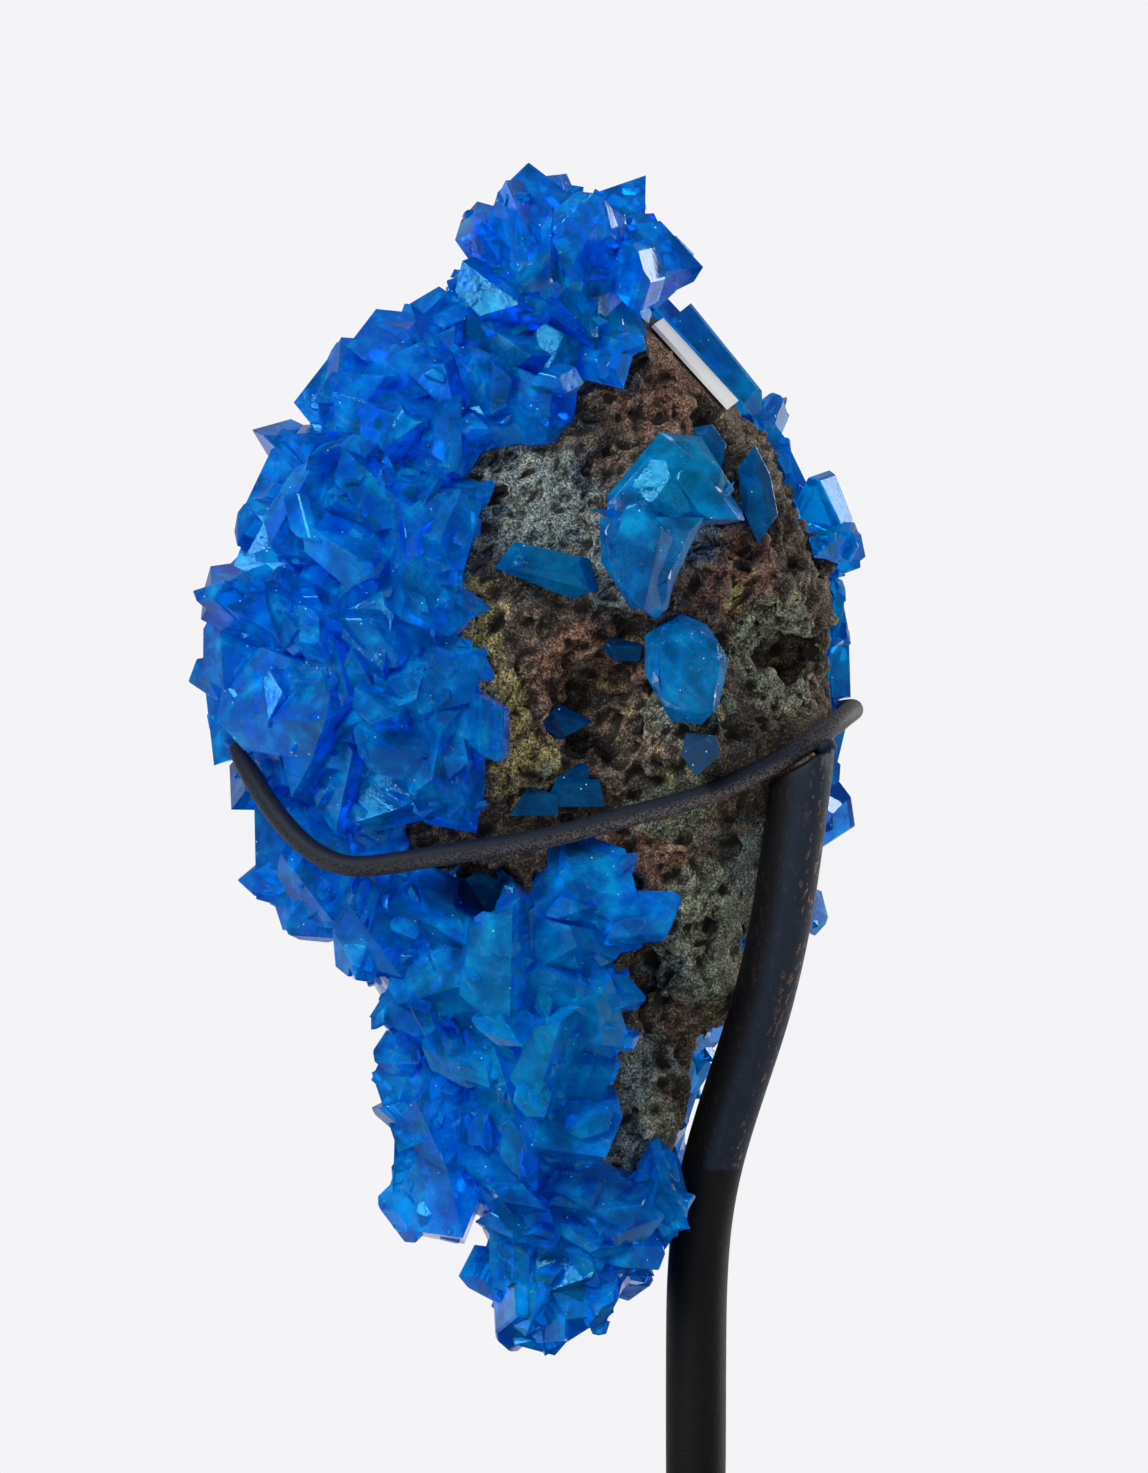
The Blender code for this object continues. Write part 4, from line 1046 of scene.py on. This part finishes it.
def flakes(look):
    """Short worn streaks on the right of the rod, above the finish line."""
    sideways, _, _ = look.add("SeparateXYZ", {0: look.tree.nodes[
        "Texture Coordinate"].outputs["Normal"]}).outputs
    _, _, height = look.add("SeparateXYZ", {0: look.place}).outputs
    stretched = look.add("Mapping", {"Vector": look.place, "Scale": (1.0, 1.0, 0.35)})
    streaks = look.noise(0.55, 2.0, 0.5, stretched.outputs[0])
    streaks = look.remap(streaks, 0.58, 0.62)
    right = look.remap(sideways, 0.2, 0.75, 0.06, 1.0)
    upper = look.remap(height, FINISH_LINE, FINISH_LINE + 0.3 * MM, 0.06, 1.0)
    return look.math("MULTIPLY", look.math("MULTIPLY", streaks, right), upper)


wire_look = black_coat("dust_and_painted_light wire coat", WIRE_COAT, DUST_AND_PAINTED_LIGHT, under_side)
rod_look = black_coat("rod coat", PLAIN_COAT, FLAKE, flakes)
_, _, height = rod_look.add("SeparateXYZ", {0: rod_look.place}).outputs
sideways, _, _ = rod_look.add("SeparateXYZ", {0: rod_look.tree.nodes[
    "Texture Coordinate"].outputs["Normal"]}).outputs
# Painted shade: above the finish line the navy shows only on the lit right side
above = rod_look.remap(height, FINISH_LINE - LINE_BLUR, FINISH_LINE + LINE_BLUR)
lit = rod_look.remap(sideways, -0.45, -0.1, 0.0, 1.0)
coat = rod_look.blend(rod_look.math("MULTIPLY", above, lit), PLAIN_COAT, NAVY_COAT)
mixer = rod_look.shader.inputs["Base Color"].links[0].from_node
rod_look.plug(coat, mixer.inputs[6])
foot_look = black_coat("foot coat", PLAIN_COAT, FLAKE, lambda look: 0.0)
print("coats:", wire_look.material.name, rod_look.material.name, foot_look.material.name)

# %% [markdown]
# The wire is brazed to the rod's top. A small ball, flattened and joined to the rod, is
# the fillet that the braze leaves.

# %% Braze, wire, rod and foot
BRAZE = (25.3, -12.9, 102.6, 1.05)
BRAZE_FORM = (1.25, 0.9, 0.85)

bpy.ops.mesh.primitive_ico_sphere_add(subdivisions=3, radius=BRAZE[3] * MM)
braze = bpy.context.object
braze.scale = BRAZE_FORM
braze.location = Vector(BRAZE[:3]) * MM
bpy.ops.object.transform_apply(location=True, rotation=False, scale=True)
modify(rod, "BOOLEAN", operation="UNION", solver="EXACT", object=braze)
bpy.data.objects.remove(braze)
finished(wire, wire_look.material, "wire_claw")
finished(rod, rod_look.material, "post")
finished(foot, foot_look.material, "base")

# %% [markdown]
# ## The card
#
# A small blank card stands on the rock, seen almost edge on. Its form is the model's, and
# its finish is paper: matt, with a faint mottle of fibres.

# %% Card
CARD_DARK = (0.80, 0.79, 0.76)
CARD_LIGHT = (0.9, 0.89, 0.87)

card_look = Finish("white card")
fibre = card_look.noise(0.3)
card_look.set(Base_Color=card_look.blend(fibre, CARD_DARK, CARD_LIGHT), Roughness=0.85)
card = merged_copy("label", "blank_card")
finished(card, card_look.material, "label")

# %% [markdown]
# The copies and the moulds have done their work and are removed, so the scene holds only
# finished pieces.

# %% Clear away
spares = (rock_solid, crust_solid, wire_solid, post_solid, label_solid, *moulds.values())
for spare in spares:
    bpy.data.objects.remove(spare)
print(len(spares), "spare shapes removed")

# %% [markdown]
# ## Floor and light
#
# The photograph is high key: a pale ground without a horizon, and soft light from all
# round. A white world gives that light, and a wide floor fades into its colour at a short
# distance, so no line shows where they meet.

# %% Floor
BACKDROP = (0.90, 0.90, 0.92)
FLOOR_COLOUR = (0.80, 0.80, 0.81)
FLOOR_RADIUS = 12.0
FLOOR_FADE = (0.12, 0.36)
bpy.ops.object.select_all(action="DESELECT")
bpy.ops.mesh.primitive_circle_add(vertices=96, radius=FLOOR_RADIUS, fill_type="NGON")
floor = bpy.context.object
floor.name = "floor"
floor_look = Finish("pale floor")
floor_look.set(Base_Color=FLOOR_COLOUR, Roughness=0.8)
away = floor_look.add("VectorMath", {0: floor_look.place}, operation="LENGTH").outputs["Value"]
glow = floor_look.add("Emission", {"Color": BACKDROP, "Strength": 1.0}).outputs[0]
fade = floor_look.remap(away, *FLOOR_FADE)
mixed = floor_look.add("MixShader", {0: fade, 1: floor_look.shader.outputs[0], 2: glow})
floor_look.tree.links.new(
    mixed.outputs[0], floor_look.tree.nodes["Material Output"].inputs["Surface"]
)
floor.data.materials.append(floor_look.material)
print("floor", FLOOR_RADIUS, "m in radius")

# %% [markdown]
# Facets that mirror a white world all over look milky. A studio has dark sides too, so
# rays that a surface reflects see a dimmer world than the rays that go through a crystal.

# %% Light tent
ROOM = 0.35

bpy.context.scene.view_settings.view_transform = "Standard"
world = bpy.data.worlds.new("light tent")
bpy.context.scene.world = world
world.use_nodes = True
world.cycles.sampling_method = "NONE"
sky = world.node_tree
bright = sky.nodes["Background"]
bright.inputs["Color"].default_value = (*BACKDROP, 1.0)
dim = sky.nodes.new("ShaderNodeBackground")
dim.inputs["Color"].default_value = (*BACKDROP, 1.0)
dim.inputs["Strength"].default_value = ROOM
path = sky.nodes.new("ShaderNodeLightPath")
mix = sky.nodes.new("ShaderNodeMixShader")
sky.links.new(path.outputs["Is Reflection Ray"], mix.inputs[0])
sky.links.new(bright.outputs[0], mix.inputs[1])
sky.links.new(dim.outputs[0], mix.inputs[2])
sky.links.new(mix.outputs[0], sky.nodes["World Output"].inputs["Surface"])
print("reflections see", ROOM, "of the light")

# %% [markdown]
# Two large lamps give the forms a lit side: the key from the upper left, and a weaker one
# from behind on the right, which makes the thin crystals at the edge glow.

# %% Lamps
AIM = Vector((0, 0, 0.1))
# Name, place, size and power
LAMPS = (
    ("key", (-0.55, -0.75, 0.75), 0.5, 11.0),
    ("back", (0.85, 0.6, 0.35), 0.6, 6.0),
)

for name, place, size, power in LAMPS:
    data = bpy.data.lights.new(name, "AREA")
    data.shape = "SQUARE"
    data.size = size
    data.energy = power
    lamp = bpy.data.objects.new(name, data)
    lamp.location = place
    lamp.rotation_euler = (AIM - Vector(place)).to_track_quat("-Z", "Y").to_euler()
    bpy.context.scene.collection.objects.link(lamp)
print(len(LAMPS), "lamps")

# %% [markdown]
# The finished pieces may stand a little proud of the model's box, but not much.

# %% [markdown]
